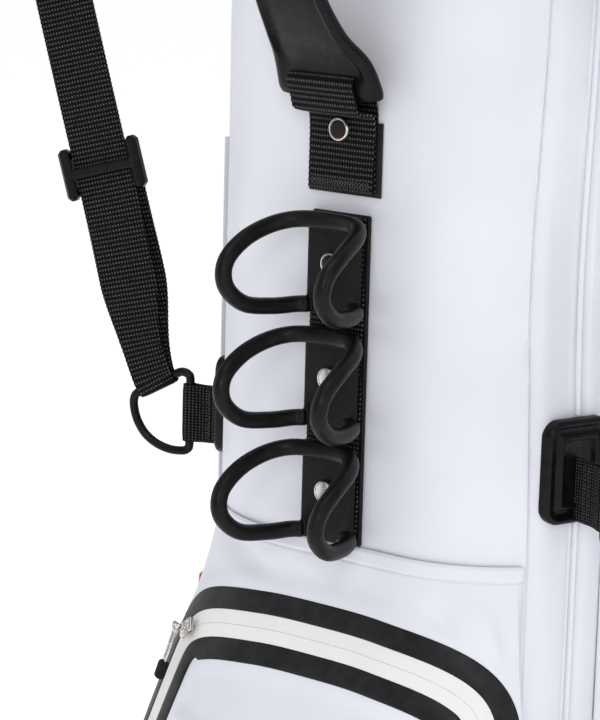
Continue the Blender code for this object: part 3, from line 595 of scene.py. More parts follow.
def zigzag(start, end, sideways, pitch):
    """The threads of a zigzag seam from start to end, as lists of their starts and ends."""
    count = max(2, round((end - start).length / pitch))
    corners = []
    for step in range(count + 1):
        corners.append(start.lerp(end, step / count) + sideways * (0.5 if step % 2 else -0.5))
    return corners[:-1], corners[1:]


# The outline.


def outline(u, lift=0.0):
    """The point at u on the bag's outline, moved out by lift, and the outward normal there."""
    u = (u + HALF_ROUND) % (2 * HALF_ROUND) - HALF_ROUND
    side = -1 if u < 0 else 1
    rest = abs(u)
    reach = CORNER + lift
    if rest < FRONT_FLAT:
        point, normal = (rest, -HALF_DEPTH - lift), (0, -1)
    elif rest < FRONT_FLAT + QUARTER:
        turn = (rest - FRONT_FLAT) / CORNER
        normal = (math.sin(turn), -math.cos(turn))
        point = (FRONT_FLAT + reach * normal[0], -SIDE_FLAT + reach * normal[1])
    elif rest < FRONT_FLAT + QUARTER + 2 * SIDE_FLAT:
        point = (HALF_WIDTH + lift, rest - FRONT_FLAT - QUARTER - SIDE_FLAT)
        normal = (1, 0)
    elif rest < FRONT_FLAT + 2 * QUARTER + 2 * SIDE_FLAT:
        turn = (rest - FRONT_FLAT - 2 * SIDE_FLAT) / CORNER
        normal = (math.sin(turn), -math.cos(turn))
        point = (FRONT_FLAT + reach * normal[0], SIDE_FLAT + reach * normal[1])
    else:
        point, normal = (HALF_ROUND - rest, HALF_DEPTH + lift), (0, 1)
    return Vector((side * point[0], point[1], 0)), Vector((side * normal[0], normal[1], 0))


def on_body(u, lift, z):
    return outline(u, lift)[0] + Vector((0, 0, z))


def spread(start, end, spacing, crowded=(), reach=0.004, fine=0.0005):
    """Even places from start to end, with more of them close to each crowded place."""
    places = list(np.linspace(start, end, max(2, round((end - start) / spacing)) + 1))
    for middle in crowded:
        places += list(np.arange(middle - reach, middle + reach + fine / 2, fine))
    inside = sorted(place for place in places if start < place < end)
    kept = [start]
    for place in inside:
        if place - kept[-1] > fine * 0.8:
            kept.append(place)
    if end - kept[-1] < fine * 0.8:
        kept.pop()
    return [*kept, end]


# The white body.


def waves(u, z, seed, size=0.0006, scale=9.0):
    """Slight unevenness of a hand-sewn panel. The bag's two ends of u meet, so it follows the real place."""
    point = on_body(u, 0, z) * scale
    return size * noise.noise(point + Vector((seed, seed, seed)))


def seam_drift(z):
    """How far the seams and pipings run in towards the spine at mid height."""
    return 0.0042 * math.sin(math.pi * ease((z - 0.43) / 0.34))


def body_relief(u, z):
    """The body skin's relief: the edge seams, the dents beside the pipings and slight waves."""
    rest = min(abs(u) + seam_drift(z), HALF_ROUND)
    lower = ease((FRONT_TOP + 0.004 - z) / 0.012)
    ridge_start = SEAM - RIDGE * (1 - lower) - 0.0021 * lower
    ridge = 0.0011 * ease((rest - ridge_start) / 0.003) * ease((SEAM - 0.0001 - rest) / 0.0011)
    groove = -0.0012 * bell(rest, SEAM + 0.0002, 0.0009)
    back_seam = HALF_ROUND - SEAM
    ridge += 0.0009 * ease((rest - back_seam + 0.0001) / 0.0011) * ease((back_seam + RIDGE - rest) / 0.003)
    groove -= 0.0009 * bell(rest, back_seam - 0.0002, 0.0009)
    dent = 0.0
    for middle in (PIPING, HALF_ROUND - PIPING):
        away = rest - middle if middle < HALF_ROUND / 2 else middle - rest
        if away < 0:
            dent -= 0.0030 * ease((away + 0.0190) / 0.0160)
            dent -= 0.0010 * bell(away, -0.0031, 0.0014)
        else:
            dent -= 0.0030 * ease((0.0075 - away) / 0.0040)
            dent -= 0.0010 * bell(away, 0.0031, 0.0014)
    hollow = 0.0012 * bell(rest, 0.132, 0.007)
    return ridge + groove + dent + hollow + waves(u, z, 3.0)


def make_body_skin():
    places = (SEAM, PIPING, HALF_ROUND - SEAM, HALF_ROUND - PIPING)
    lines = [sign * place for place in places for sign in (-1, 1)]
    columns = spread(-HALF_ROUND, HALF_ROUND, 0.004, lines)[:-1]
    heights = list(np.linspace(BODY_BOTTOM, BODY_TOP, 100))
    outer = [[on_body(u, body_relief(u, z), z) for u in columns] for z in heights]
    inner = [[on_body(u, -WALL - 0.0012, z) for u in columns] for z in heights]
    add_piece("body_skin", sheet_mesh(outer, inner, closed=True), "white_skin", "bag", ["body_shell"])


def piping_runs():
    """The stretches of the four pipings up the body, which stop at the strap plates."""
    low, high = PLATE_MIDDLE - 0.0315, PLATE_MIDDLE + 0.0315
    return ((CUP_TOP + 0.002, low, "lower"), (high, COLLAR_SKIRT - 0.001, "upper"))


def make_pipings():
    for side, sign in (("left", -1), ("right", 1)):
        for low, high, part in piping_runs():
            line = [on_body(sign * (PIPING - seam_drift(z)), -0.0017, z) for z in np.linspace(low, high, 60)]
            mesh = tube_mesh(round_rod(line, PIPING_RADIUS, 14))
            add_piece(f"piping_{part}_{side}", mesh, "white_skin")


# The pockets.


def front_depth(u, z):
    """How far the front pocket stands out: a slope from its top seam, and short side walls."""
    below = max(FRONT_TOP - z, 0.0)
    swell = FRONT_DEPTH * math.tanh(0.748 * below**1.41 / FRONT_DEPTH)
    degrees = math.degrees(max(abs(u) - FRONT_FLAT, 0.0) / CORNER)
    side = 1 - ease((degrees - FRONT_WALL[0]) / (FRONT_WALL[1] - FRONT_WALL[0]))
    return swell * side * ease((z - FRONT_BOTTOM) / 0.035)


def panel_depth(u, z, start, end, top, deep):
    beside = ease((u - start) / 0.030) * ease((end - u) / 0.030)
    return deep * beside * ease((top - z) / 0.050) * ease((z - POCKET_BOTTOM) / 0.050)


def side_depth(u, z):
    return panel_depth(u, z, SIDE_START, SIDE_END, SIDE_TOP, SIDE_DEPTH)


def back_depth(u, z):
    return panel_depth(u, z, BACK_EDGE, 2 * HALF_ROUND - BACK_EDGE, BACK_TOP, BACK_DEPTH)


def arch_point(turn, inset):
    """A place (u, z) on the zip arch. turn runs from -1 at the left foot to 1 at the right foot."""
    leg = 0.35
    foot = ARCH_TOP - ARCH_DROP
    bend = min(abs(turn) / (1 - leg), 1.0) * math.pi / 2
    u = ARCH_HALF_WIDTH * max(math.sin(bend), 0.0) ** (2 / 3)
    z = foot + ARCH_DROP * max(math.cos(bend), 0.0) ** (2 / 3)
    slope_u = (u / ARCH_HALF_WIDTH) ** 2 / ARCH_HALF_WIDTH
    slope_z = ((z - foot) / ARCH_DROP) ** 2 / ARCH_DROP
    steep = math.hypot(slope_u, slope_z)
    if abs(turn) > 1 - leg:
        z -= (foot - ARCH_BOTTOM) * (abs(turn) - 1 + leg) / leg
    stretch = 1 + front_depth(0, z) / CORNER
    u -= inset * slope_u / steep / stretch
    z -= inset * slope_z / steep * ARCH_LEAN
    return math.copysign(u, turn), z


def arch_place(turn, inset, lift):
    u, z = arch_point(turn, inset)
    return on_body(u, GAP + SKIN + front_depth(u, z) + lift, z)


ARCH_MIDDLE = np.array([arch_point(turn, BAND + TAPE / 2) for turn in np.linspace(-1, 1, 400)])


def arch_distance(u, z):
    """How far a place on the front pocket is from the middle of the zip, measured along the pocket."""
    stretch = 1 + front_depth(0, z) / CORNER if abs(u) > FRONT_FLAT else 1.0
    away = (ARCH_MIDDLE - (u, z)) * (stretch, 1.0)
    return float(np.sqrt((away**2).sum(1).min()))


def fold(u, z, start, end, half, depth, soft=0.35):
    """A crease from start to end in (u, z), half wide, which fades in and out along itself."""
    ahead = Vector((end[0] - start[0], end[1] - start[1]))
    length = ahead.length
    ahead /= length
    away = Vector((u - start[0], z - start[1]))
    along = away.dot(ahead) / length
    across = away.x * ahead.y - away.y * ahead.x
    fade = ease(along / soft) * ease((1 - along) / soft)
    return depth * fade * math.exp(-((across / half) ** 2))


FRONT_FOLDS = (
    ((0.066, 0.422), (0.112, 0.338), 0.0070, -0.0050),
    ((0.086, 0.424), (0.118, 0.365), 0.0060, 0.0022),
    ((0.108, 0.424), (0.114, 0.340), 0.0045, -0.0036),
    ((-0.110, 0.430), (-0.020, 0.395), 0.0080, -0.0042),
    ((-0.075, 0.440), (0.010, 0.408), 0.0070, 0.0016),
    ((-0.118, 0.318), (0.030, 0.290), 0.0050, 0.0042),
    ((-0.118, 0.304), (0.040, 0.274), 0.0050, -0.0044),
    ((-0.100, 0.285), (0.060, 0.235), 0.0090, -0.0030),
    ((0.020, 0.250), (0.110, 0.210), 0.0100, 0.0030),
)


def front_relief(u, z):
    """The front pocket's seam band at the top, the plateau under its zip, and its folds."""
    band = 0.0007 * ease((z - FRONT_TOP + SEAM_BAND) / 0.0012)
    groove = -0.0007 * bell(z, FRONT_TOP - SEAM_BAND - 0.0006, 0.0010)
    edge = -0.0010 * ease((z - FRONT_TOP + 0.0016) / 0.0016)
    beside = -0.0010 * ease((abs(u) - FRONT_EDGE + 0.0012) / 0.0012)
    away = arch_distance(u, z)
    clear = (2 * BAND + TAPE) / 2
    plateau = PLATEAU * (1 - ease((away - clear) / 0.012))
    free = ease((away - clear - 0.001) / 0.012)
    inside = ease((0.1165 - abs(u)) / 0.006)
    folds = sum(fold(u, z, *shape) for shape in FRONT_FOLDS) * free * inside
    soft = waves(u, z, 11.0, 0.0016, 16.0) * free * inside * ease((FRONT_TOP - SEAM_BAND - z) / 0.01)
    return band + groove + edge + beside + plateau + folds + soft


def make_skin(name, columns, heights, lift, thickness, replaces):
    outer = [[on_body(u, lift(u, z), z) for u in columns] for z in heights]
    inner = [[on_body(u, lift(u, z) - thickness, z) for u in columns] for z in heights]
    return add_piece(name, sheet_mesh(outer, inner), "white_skin", "bag", replaces)


def make_front_pocket():
    wall = [sign * 0.1192 for sign in (-1, 1)]
    columns = spread(-FRONT_EDGE, FRONT_EDGE, 0.0022, wall, reach=0.0028, fine=0.00035)
    crowd = [FRONT_TOP - SEAM_BAND, FRONT_TOP - 0.0015]
    heights = spread(FRONT_BOTTOM, FRONT_TOP, 0.0026, crowd, 0.002, 0.0004)

    def lift(u, z):
        return GAP + SKIN + front_depth(u, z) + front_relief(u, z)

    make_skin("front_pocket_skin", columns, heights, lift, 0.0011, ["front_pocket"])


def pocket_edge(value, edge, inward):
    """A sewn welt along a panel's edge: a raised line and the groove inside it."""
    away = (value - edge) * inward
    return 0.0009 * bell(away, 0.0028, 0.0022) - 0.0008 * bell(away, 0.0062, 0.0016)


def make_side_pockets():
    def relief(u, z):
        welt = pocket_edge(u, SIDE_START, 1) + pocket_edge(u, SIDE_END, -1) + pocket_edge(z, SIDE_TOP, -1)
        near_zip = ease((abs(outline(u)[0].y) - 0.026) / 0.010)
        folds = fold(u, z, (0.214, 0.420), (0.186, 0.350), 0.0050, -0.0024)
        folds += fold(u, z, (0.222, 0.405), (0.194, 0.340), 0.0060, 0.0014)
        folds += fold(u, z, (0.190, 0.600), (0.212, 0.520), 0.0070, -0.0018)
        folds += fold(u, z, (0.300, 0.560), (0.282, 0.430), 0.0080, -0.0020)
        folds += fold(u, z, (0.196, 0.250), (0.214, 0.160), 0.0070, -0.0022)
        return welt + (folds + waves(u, z, 21.0, 0.0015, 13.0)) * near_zip

    crowd = [SIDE_START + 0.004, SIDE_END - 0.004]
    columns = spread(SIDE_START, SIDE_END, 0.0025, crowd, 0.004, 0.0006)
    heights = spread(POCKET_BOTTOM, SIDE_TOP, 0.0050, [SIDE_TOP - 0.004], 0.004, 0.0006)
    for side, sign in (("left", -1), ("right", 1)):
        turned = [sign * u for u in columns]

        def lift(u, z):
            return GAP + 0.0014 + side_depth(abs(u), z) + relief(abs(u), z)

        make_skin(f"side_pocket_skin_{side}", turned, heights, lift, 0.0011, [f"side_pocket_{side}"])


def make_back_pocket():
    end = 2 * HALF_ROUND - BACK_EDGE
    crowd = [BACK_EDGE + 0.004, end - 0.004]
    columns = spread(BACK_EDGE, end, 0.0025, crowd, 0.004, 0.0006)
    heights = spread(POCKET_BOTTOM, BACK_TOP, 0.0050, [BACK_TOP - 0.004], 0.004, 0.0006)

    def lift(u, z):
        welt = pocket_edge(u, BACK_EDGE, 1) + pocket_edge(u, end, -1) + pocket_edge(z, BACK_TOP, -1)
        near_zip = ease((abs(u - HALF_ROUND) - 0.026) / 0.010)
        soft = waves(u, z, 31.0, 0.0018, 11.0)
        soft += fold(u, z, (0.372, 0.520), (0.402, 0.430), 0.0080, -0.0020)
        soft += fold(u, z, (0.500, 0.300), (0.470, 0.180), 0.0080, -0.0020)
        return GAP + 0.0014 + back_depth(u, z) + welt + soft * near_zip

    make_skin("back_pocket_skin", columns, heights, lift, 0.0011, ["back_pocket"])


# The zips.


def make_arch_strip(name, outer, inner, profile, look, replaces):
    """A strip of the zip arch. profile gives its height over BAND_LIFT at each share of its width."""
    insets = [(outer + (inner - outer) * share, BAND_LIFT + rise) for share, rise in profile]
    top, under = [], []
    for turn in np.linspace(-1, 1, 260):
        top.append([arch_place(turn, inset, lift) for inset, lift in insets])
        under.append([arch_place(turn, inset, PLATEAU + 0.0001) for inset, _ in insets])
    return add_piece(name, sheet_mesh(top, under), look, "bag", replaces)


def make_front_zip():
    soft = [(0.0, -0.00045), (0.03, -0.00015), (0.08, 0.0), (0.3, 0.00010), (0.5, 0.00012)]
    soft += [(1 - share, rise) for share, rise in reversed(soft[:-1])]
    make_arch_strip("zip_band_upper", 0.0, BAND, soft, "black_trim", ["front_trim_upper"])
    lower = BAND + TAPE
    make_arch_strip("zip_band_lower", lower, lower + BAND, soft, "black_trim", ["front_trim_lower"])
    tape = [(0.0, -0.0005), (0.04, -0.0004), (0.30, -0.00035)]
    tape += [(0.44, -0.00010), (0.485, -0.00012), (0.495, -0.00065)]
    tape += [(1 - share, rise) for share, rise in reversed(tape)]
    make_arch_strip("zip_tape_front", BAND, lower, tape, "zip_tape", ["front_zip_tape"])


def make_straight_zip(node, direction, name):
    """A straight zip: two coated lips that meet in a fine line, in a welded window of the skin's white."""
    low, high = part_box(node)
    bottom, top = low.z, high.z
    across = Vector((0, 0, 1)).cross(direction)
    reach = max(abs(high.dot(direction)), abs(low.dot(direction)))
    axes = Matrix((direction, across, Vector((0, 0, 1)))).transposed()
    half = TAPE / 2

    def strip(places, heights):
        row = [direction * (reach + rise) + across * place for place, rise in zip(places, heights)]
        return [[point + Vector((0, 0, z)) for point in row] for z in np.linspace(bottom, top, 80)]

    places = [half * share for share in (-1, -0.93, -0.35, -0.08, -0.02, 0.02, 0.08, 0.35, 0.93, 1)]
    heights = (-0.0004, -0.0001, -0.0001, 0, -0.0006, -0.0006, 0, -0.0001, -0.0001, -0.0004)
    mesh = sheet_mesh(strip(places, heights), strip(places, [-0.0011] * len(places)))
    add_piece(f"{name}_tape", mesh, "zip_tape", "bag", [node])
    bands = []
    for side in (-1, 1):
        centre = direction * (reach - 0.0008) + across * side * (half + BAND / 2 + 0.0002)
        centre += Vector((0, 0, (bottom + top) / 2))
        bands.append(box_mesh(centre, (0.0011, BAND, top - bottom + 0.010), axes, 0.0004, 2))
    for z in (bottom - 0.0030, top + 0.0030):
        centre = direction * (reach - 0.0008) + Vector((0, 0, z))
        bands.append(box_mesh(centre, (0.0011, TAPE + 0.001, 0.0052), axes, 0.0004, 2))
    add_piece(f"{name}_bands", joined(bands), "white_skin")


def make_straight_zips():
    make_straight_zip("side_zip_left", Vector((-1, 0, 0)), "side_zip_left")
    make_straight_zip("side_zip_right", Vector((1, 0, 0)), "side_zip_right")
    make_straight_zip("back_zip", Vector((0, 1, 0)), "back_zip")


def make_slider(node, slider_body, pull_body, out, hang):
    """A nickel slider and its pull: a flat lever with a hole, and a black moulded end."""
    moulded(f"{node}_slider", "nickel", slider_body, 0.00028, 3)
    joint = next(one for one in frame["joints"] if one["child"] == pull_body)
    pivot = Vector(joint["pos_m"])
    across = hang.cross(out).normalized()
    axes = Matrix((across, hang, out)).transposed()
    eye = []
    for step in range(24):
        turn = 2 * math.pi * step / 24
        eye.append(pivot + hang * (0.0021 * math.cos(turn) + 0.0012) + out * 0.0021 * math.sin(turn))
    profile = [(0, 0.0038), (0.0014, 0.0038), (0.0018, 0.0034)]
    profile += [(radius, -height) for radius, height in reversed(profile)]
    barrel = lathe_mesh(profile, pivot, across, 32)
    lever = [barrel, tube_mesh(round_rod(eye, 0.0007, 10, cyclic=True, up=across), cyclic=True)]
    for side in (-1, 1):
        centre = pivot + hang * 0.0120 + across * side * 0.0021
        lever.append(box_mesh(centre, (0.0014, 0.0200, 0.0016), axes, 0.0005, 2))
    for down, length in ((0.0032, 0.0030), (0.0120, 0.0016), (0.0218, 0.0044)):
        lever.append(box_mesh(pivot + hang * down, (0.0052, length, 0.0016), axes, 0.0005, 2))
    add_piece(f"{node}_lever", joined(lever), "nickel", pull_body, [f"{node}_pull"])
    grip = box_mesh(pivot + hang * 0.0290, (0.0074, 0.0120, 0.0058), axes, 0.0022, 5)
    add_piece(f"{node}_grip", grip, "black_rubber", pull_body)


def make_sliders():
    down = Vector((0, 0, -1))
    make_slider("side_zip_left", "side_slider_left", "side_pull_left", Vector((-1, 0, 0)), down)
    make_slider("side_zip_right", "side_slider_right", "side_pull_right", Vector((1, 0, 0)), down)
    make_slider("back_zip", "back_slider", "back_pull", Vector((0, 1, 0)), down)
    turn, inset = -0.440, BAND + TAPE / 2
    foot = arch_place(turn, inset, BAND_LIFT)
    ahead = arch_place(turn - 0.01, inset, BAND_LIFT) - arch_place(turn + 0.01, inset, BAND_LIFT)
    inward = arch_place(turn, inset + 0.002, BAND_LIFT) - foot
    out = ahead.cross(inward).normalized()
    if out.dot(outline(arch_point(turn, inset)[0])[1]) < 0:
        out = -out
    hang = (down - out * down.dot(out)).normalized()
    make_slider("front_zip", "front_slider", "front_pull", out, hang)


# The base and the top.


def make_base():
    """The moulded base cup with its rolled rim and two shallow ribs, and the feet."""
    columns = spread(-HALF_ROUND, HALF_ROUND, 0.005)[:-1]
    lift = GAP + CUP_WALL
    profile = [(-0.020, CUP_BOTTOM), (-0.008, CUP_BOTTOM), (-0.003, CUP_BOTTOM + 0.0012)]
    profile += [(0.0, CUP_BOTTOM + 0.0045), (0.0004, CUP_BOTTOM + 0.010)]
    for middle in (0.026, 0.036):
        profile += [(0.0004, middle - 0.0022), (-0.0008, middle - 0.0012), (-0.0008, middle + 0.0012)]
        profile += [(0.0004, middle + 0.0022)]
    profile += [(0.0004, CUP_TOP - 0.012), (0.0014, CUP_TOP - 0.0095), (0.0016, CUP_TOP - 0.0020)]
    profile += [(0.0008, CUP_TOP), (-0.0016, CUP_TOP), (-0.0029, CUP_TOP - 0.0006)]
    profile += [(-0.0029, CUP_BOTTOM + 0.0045), (-0.0060, CUP_BOTTOM + 0.0032)]
    profile += [(-0.020, CUP_BOTTOM + 0.0032)]
    rings = [[on_body(u, lift + rise, z) for rise, z in profile] for u in columns]
    add_piece("base_cup_rim", tube_mesh(rings, cyclic=True), "black_plastic", "bag", ["base_cup"], 60)
    count = len(columns)
    floor = [on_body(u, lift - 0.0195, CUP_BOTTOM + height) for height in (0.0002, 0.0030) for u in columns]
    faces = grid_faces(2, count, closed=True)
    faces.append(tuple(reversed(range(count))))
    faces.append(tuple(range(count, 2 * count)))
    add_piece("base_floor", outward_mesh(floor, faces), "black_plastic")
    for number in range(1, 5):
        low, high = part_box(f"base_foot_{number}")
        centre = Vector(((low.x + high.x) / 2, (low.y + high.y) / 2, 0))
        radius, height = (high.x - low.x) / 2, high.z
        profile = [(0, height), (radius, height), (radius, 0.0030), (radius - 0.0006, 0.0014)]
        profile += [(radius - 0.002, 0.0003), (radius - 0.0035, 0.0), (0.0060, 0.0), (0.0052, 0.0010), (0, 0.0010)]
        mesh = lathe_mesh(profile, centre, Vector((0, 0, 1)))
        add_piece(f"foot_{number}", mesh, "black_rubber", "bag", [f"base_foot_{number}"])


def make_collar():
    """The moulded top: a skirt over the body, a soft rolled rim and a groove under it."""
    rings = []
    for u in spread(-HALF_ROUND, HALF_ROUND, 0.004)[:-1]:
        top = COLLAR_TOP + COLLAR_SLOPE * outline(u)[0].y
        profile = [(GAP, COLLAR_SKIRT + 0.001), (0.0020, COLLAR_SKIRT), (0.0046, COLLAR_SKIRT + 0.001)]
        profile += [(0.0062, COLLAR_SKIRT + 0.006), (COLLAR_OUT, COLLAR_SKIRT + 0.020)]
        profile += [(COLLAR_OUT, top - 0.024)]
        profile += [(COLLAR_OUT - 0.0013, top - 0.0225), (COLLAR_OUT - 0.0013, top - 0.0205)]
        profile += [(COLLAR_OUT, top - 0.019)]
        middle = (COLLAR_OUT + COLLAR_IN) / 2
        reach = (COLLAR_OUT - COLLAR_IN) / 2
        for step in range(13):
            turn = math.pi * step / 12
            profile.append((middle + reach * math.cos(turn), top - 0.0075 + 0.0075 * math.sin(turn) ** 0.7))
        profile += [(COLLAR_IN, top - 0.018), (COLLAR_IN, BODY_TOP + GAP), (GAP, BODY_TOP + GAP)]
        rings.append([on_body(u, lift, z) for lift, z in profile])
    add_piece("collar", tube_mesh(rings, cyclic=True), "black_plastic", "bag", ["top_collar"], 60)


def make_dividers():
    moulded("divider_grid", "black_lining", "bag", 0.0016, 6)
    frame["nodes"]["divider_sleeve"].data.materials.clear()
    frame["nodes"]["divider_sleeve"].data.materials.append(LOOKS["black_lining"])


# The handle, its tab and the hooks.


def spine(out, z, x=0.0):
    return Vector((x, -HALF_DEPTH - out, z))


def handle_end(down, out):
    along = Vector((-0.447, -0.894))
    across = Vector((0.894, -0.447))
    return Vector(HANDLE_END) + along * down + across * out


def make_handle():
    """The moulded handle, hollowed along its outer face so that its edges are rims."""
    path = [(COLLAR_OUT + 2 * GAP, 0.826, 0.062), (0.030, 0.839, 0.052), (0.050, 0.833, 0.047)]
    path += [(0.062, 0.813, 0.045), (0.0645, 0.786, 0.045), (0.057, 0.758, 0.047), (0.040, 0.7325, 0.054)]
    path += [(0.024, 0.716, 0.067), (*HANDLE_END, 0.073)]
    path = curve_through(path, 9)
    rings = []
    sides = 48
    for index, (out, z, width) in enumerate(path):
        ahead = path[min(index + 1, len(path) - 1)] - path[max(index - 1, 0)]
        normal = Vector((-ahead.y, ahead.x)).normalized() if index else Vector((0, 1))
        share = index / (len(path) - 1)
        end = ease((1 - share) / 0.02)
        half = width / 2 - 0.0012 * (1 - end)
        thick = HANDLE_THICKNESS / 2 - 0.0010 * (1 - end)
        hollow = 0.0042 * ease(share / 0.10) * ease((1.0 - share) / 0.16)
        ring = []
        for step in range(sides):
            turn = 2 * math.pi * step / sides
            x = half * math.copysign(abs(math.cos(turn)) ** 0.55, math.cos(turn))
            depth = thick * math.copysign(abs(math.sin(turn)) ** 0.7, math.sin(turn))
            if math.sin(turn) > 0:
                depth -= hollow * ease((0.90 - abs(x) / half) / 0.17)
            ring.append(spine(out + normal.x * depth, z + normal.y * depth, x))
        rings.append(ring)
    handle = add_piece("carry_handle", tube_mesh(rings), "gloss_plastic", "bag", ["handle"], 55)
    along, across = Vector((0, 0.447, -0.894)), Vector((0, -0.894, -0.447))
    axes = Matrix((Vector((1, 0, 0)), along, across)).transposed()
    slot = box_mesh(spine(*handle_end(-0.014, 0)), (*SLOT, 0.040), axes, 0.0012)
    cutter = bpy.data.objects.new("cutter", slot)
    bpy.context.scene.collection.objects.link(cutter)
    hole = handle.modifiers.new("Slot", "BOOLEAN")
    hole.operation = "DIFFERENCE"
    hole.object = cutter
    bpy.context.view_layer.update()
    mesh = bpy.data.meshes.new_from_object(handle.evaluated_get(bpy.context.evaluated_depsgraph_get()))
    handle.modifiers.clear()
    handle.data = mesh
    mesh.shade_smooth()
    mesh.set_sharp_from_angle(angle=math.radians(50))
    bpy.data.objects.remove(cutter)


def make_handle_tab():
    """The webbing tab: a loop through the handle's slot, sewn down flat on a smooth base patch."""
    front = [(0.0040, TAB_BOTTOM), (0.0040, 0.652), (0.0040, 0.664), (0.0044, 0.6800), (0.0075, 0.6862)]
    loop = [(0.006, 0.0086), (-0.004, 0.0080), (-0.0115, 0.0074), (-0.0142, 0.0045), (-0.0142, 0.0)]
    loop += [(-0.0142, -0.0055), (-0.0125, -0.0084), (-0.004, -0.0086), (0.002, -0.0084)]
    back = [(0.0016, 0.6870), (0.0016, 0.664), (0.0016, TAB_BOTTOM)]
    path = [Vector(place) for place in front] + [handle_end(*place) for place in loop]
    path += [Vector(place) for place in back]
    points = [spine(*place) for place in curve_through(path, 5)]
    side = Vector((1, 0, 0))
    mesh = webbing_mesh(points, lambda *_: side, lambda *_: TAB_WIDTH, WEBBING, 0.0033, 0.0018, 0.00022)
    add_piece("handle_webbing", mesh, "black_webbing", "bag", ["handle_tab"])
    height = 0.682 - TAB_BOTTOM
    centre = spine(0.0009, TAB_BOTTOM - 0.0014 + height / 2, 0.0008)
    patch = box_mesh(centre, (TAB_WIDTH + 0.0056, 0.0012, height + 0.0016), None, 0.00055, 3)
    add_piece("handle_tab_patch", patch, "black_trim")
    lift = 0.0040 + WEBBING / 2 + 0.0001
    half = TAB_WIDTH / 2 - 0.0022
    starts, ends = [], []
    for z in (TAB_BOTTOM + 0.0026, TAB_BOTTOM + 0.0054):
        more = zigzag(spine(lift, z, -half), spine(lift, z, half), Vector((0, 0, 0.0022)), 0.0013)
        starts += more[0]
        ends += more[1]
    add_piece("handle_tab_stitching", stitch_mesh(starts, ends), "thread")


def make_rivet(node, seat, z, look):
    """A capped rivet: a flat, polished face inside a bright rim with a short skirt."""
    foot, out = spine(seat, z), Vector((0, -1, 0))
    rim = [(0, 0.0026), (0.0056, 0.0026), (0.0058, 0.0031), (0.0064, 0.0030), (0.0069, 0.0022)]
    rim += [(RIVET_RADIUS, 0.0010), (0.0068, 0.0), (0.0022, -0.0001), (0, -0.0001)]
    add_piece(f"{node}_cap", lathe_mesh(rim, foot, out, 64), "nickel", "bag", [node], 40)
    face = [(0, 0.00295), (0.0040, 0.00290), (0.0054, 0.00275), (0.0054, 0.00262), (0, 0.00262)]
    add_piece(f"{node}_face", lathe_mesh(face, foot, out, 64), look)


def hook_path():
    """The wire of a ring hook: up one wing, over the top bar and down the other, from (across, out, up)."""
    wing = [(0.0150, 0.0054, 0.0005), (0.0215, 0.0095, 0.0000), (0.0275, 0.0240, 0.0000)]
    wing += [(0.0320, 0.0440, 0.0035), (0.0345, 0.0575, 0.0150), (0.0360, 0.0560, 0.0285)]
    wing += [(0.0355, 0.0410, 0.0395), (0.0310, 0.0230, 0.0465), (0.0200, 0.0105, 0.0500)]
    left = [(-across, out, up) for across, out, up in wing]
    return curve_through([*wing, (0.0, 0.0070, 0.0505), *reversed(left)], 10)


def make_hooks():
    """Three moulded ring hooks on a webbing strip and a backing plate, each held by a rivet."""
    low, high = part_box("hook_backing")
    backing = box_mesh((low + high) / 2, high - low, bevel=0.0011)
    add_piece("hook_backing_plate", backing, "black_plastic", "bag", ["hook_backing"], 40)
    low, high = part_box("hook_webbing")
    middle = (low.y + high.y) / 2
    path = [Vector((0, middle, z)) for z in np.linspace(low.z, high.z, 30)]
    side = Vector((1, 0, 0))
    mesh = webbing_mesh(path, lambda *_: side, lambda *_: high.x - low.x, high.y - low.y - 0.0006)
    add_piece("hook_strip", mesh, "black_webbing", "bag", ["hook_webbing"])
    seat = GAP + BACKING_THICKNESS + GAP + WEBBING + GAP
    for number, (name, root) in enumerate(zip(("upper", "middle", "lower"), HOOK_ROOTS), start=1):
        points = [spine(seat + out, root + up, across) for across, out, up in hook_path()]
        wire = tube_mesh(round_rod(points, HOOK_TUBE, 20))
        size = (PLATE_WIDTH, PLATE_THICKNESS, PLATE_HIGH - PLATE_LOW)
        middle = spine(seat + PLATE_THICKNESS / 2, root + (PLATE_HIGH + PLATE_LOW) / 2)
        plate = box_mesh(middle, size, bevel=0.0010)
        mesh = remeshed(joined([plate, wire]), 0.00085, 6)
        add_piece(f"ring_hook_{name}_moulded", mesh, "black_plastic", "bag", [f"ring_hook_{name}"], 60)
        look = "dark_bronze" if number == 1 else "nickel"
        make_rivet(f"hook_rivet_{number}", seat + PLATE_THICKNESS + GAP, root + HOOK_RIVET, look)


# The shoulder straps.


def strap_axes(sign):
    """The columns are outward from the body, round towards the spine and up."""
    normal = outline(sign * STRAP_U)[1]
    toward = Vector((0, 0, 1)).cross(normal) * -sign
    return Matrix((normal, toward, Vector((0, 0, 1)))).transposed()


def strap_place(sign, out, z, turn=0.0):
    point = outline(sign * STRAP_U)[0]
    return point + strap_axes(sign) @ Vector((out, turn, z))


def body_sag(turn):
    """How far the body falls away from the plane that touches it at STRAP_U."""
    return CORNER - math.sqrt(CORNER**2 - turn**2)


def rounded_ring(half_wide, half_tall, radius, steps=9):
    """Points round a rectangle with round corners."""
    points = []
    for corner, (x, y) in enumerate(((1, 1), (-1, 1), (-1, -1), (1, -1))):
        for step in range(steps):
            turn = math.pi / 2 * (corner + step / (steps - 1))
            across, up = radius * math.cos(turn), radius * math.sin(turn)
            points.append((x * (half_wide - radius) + across, y * (half_tall - radius) + up))
    return points


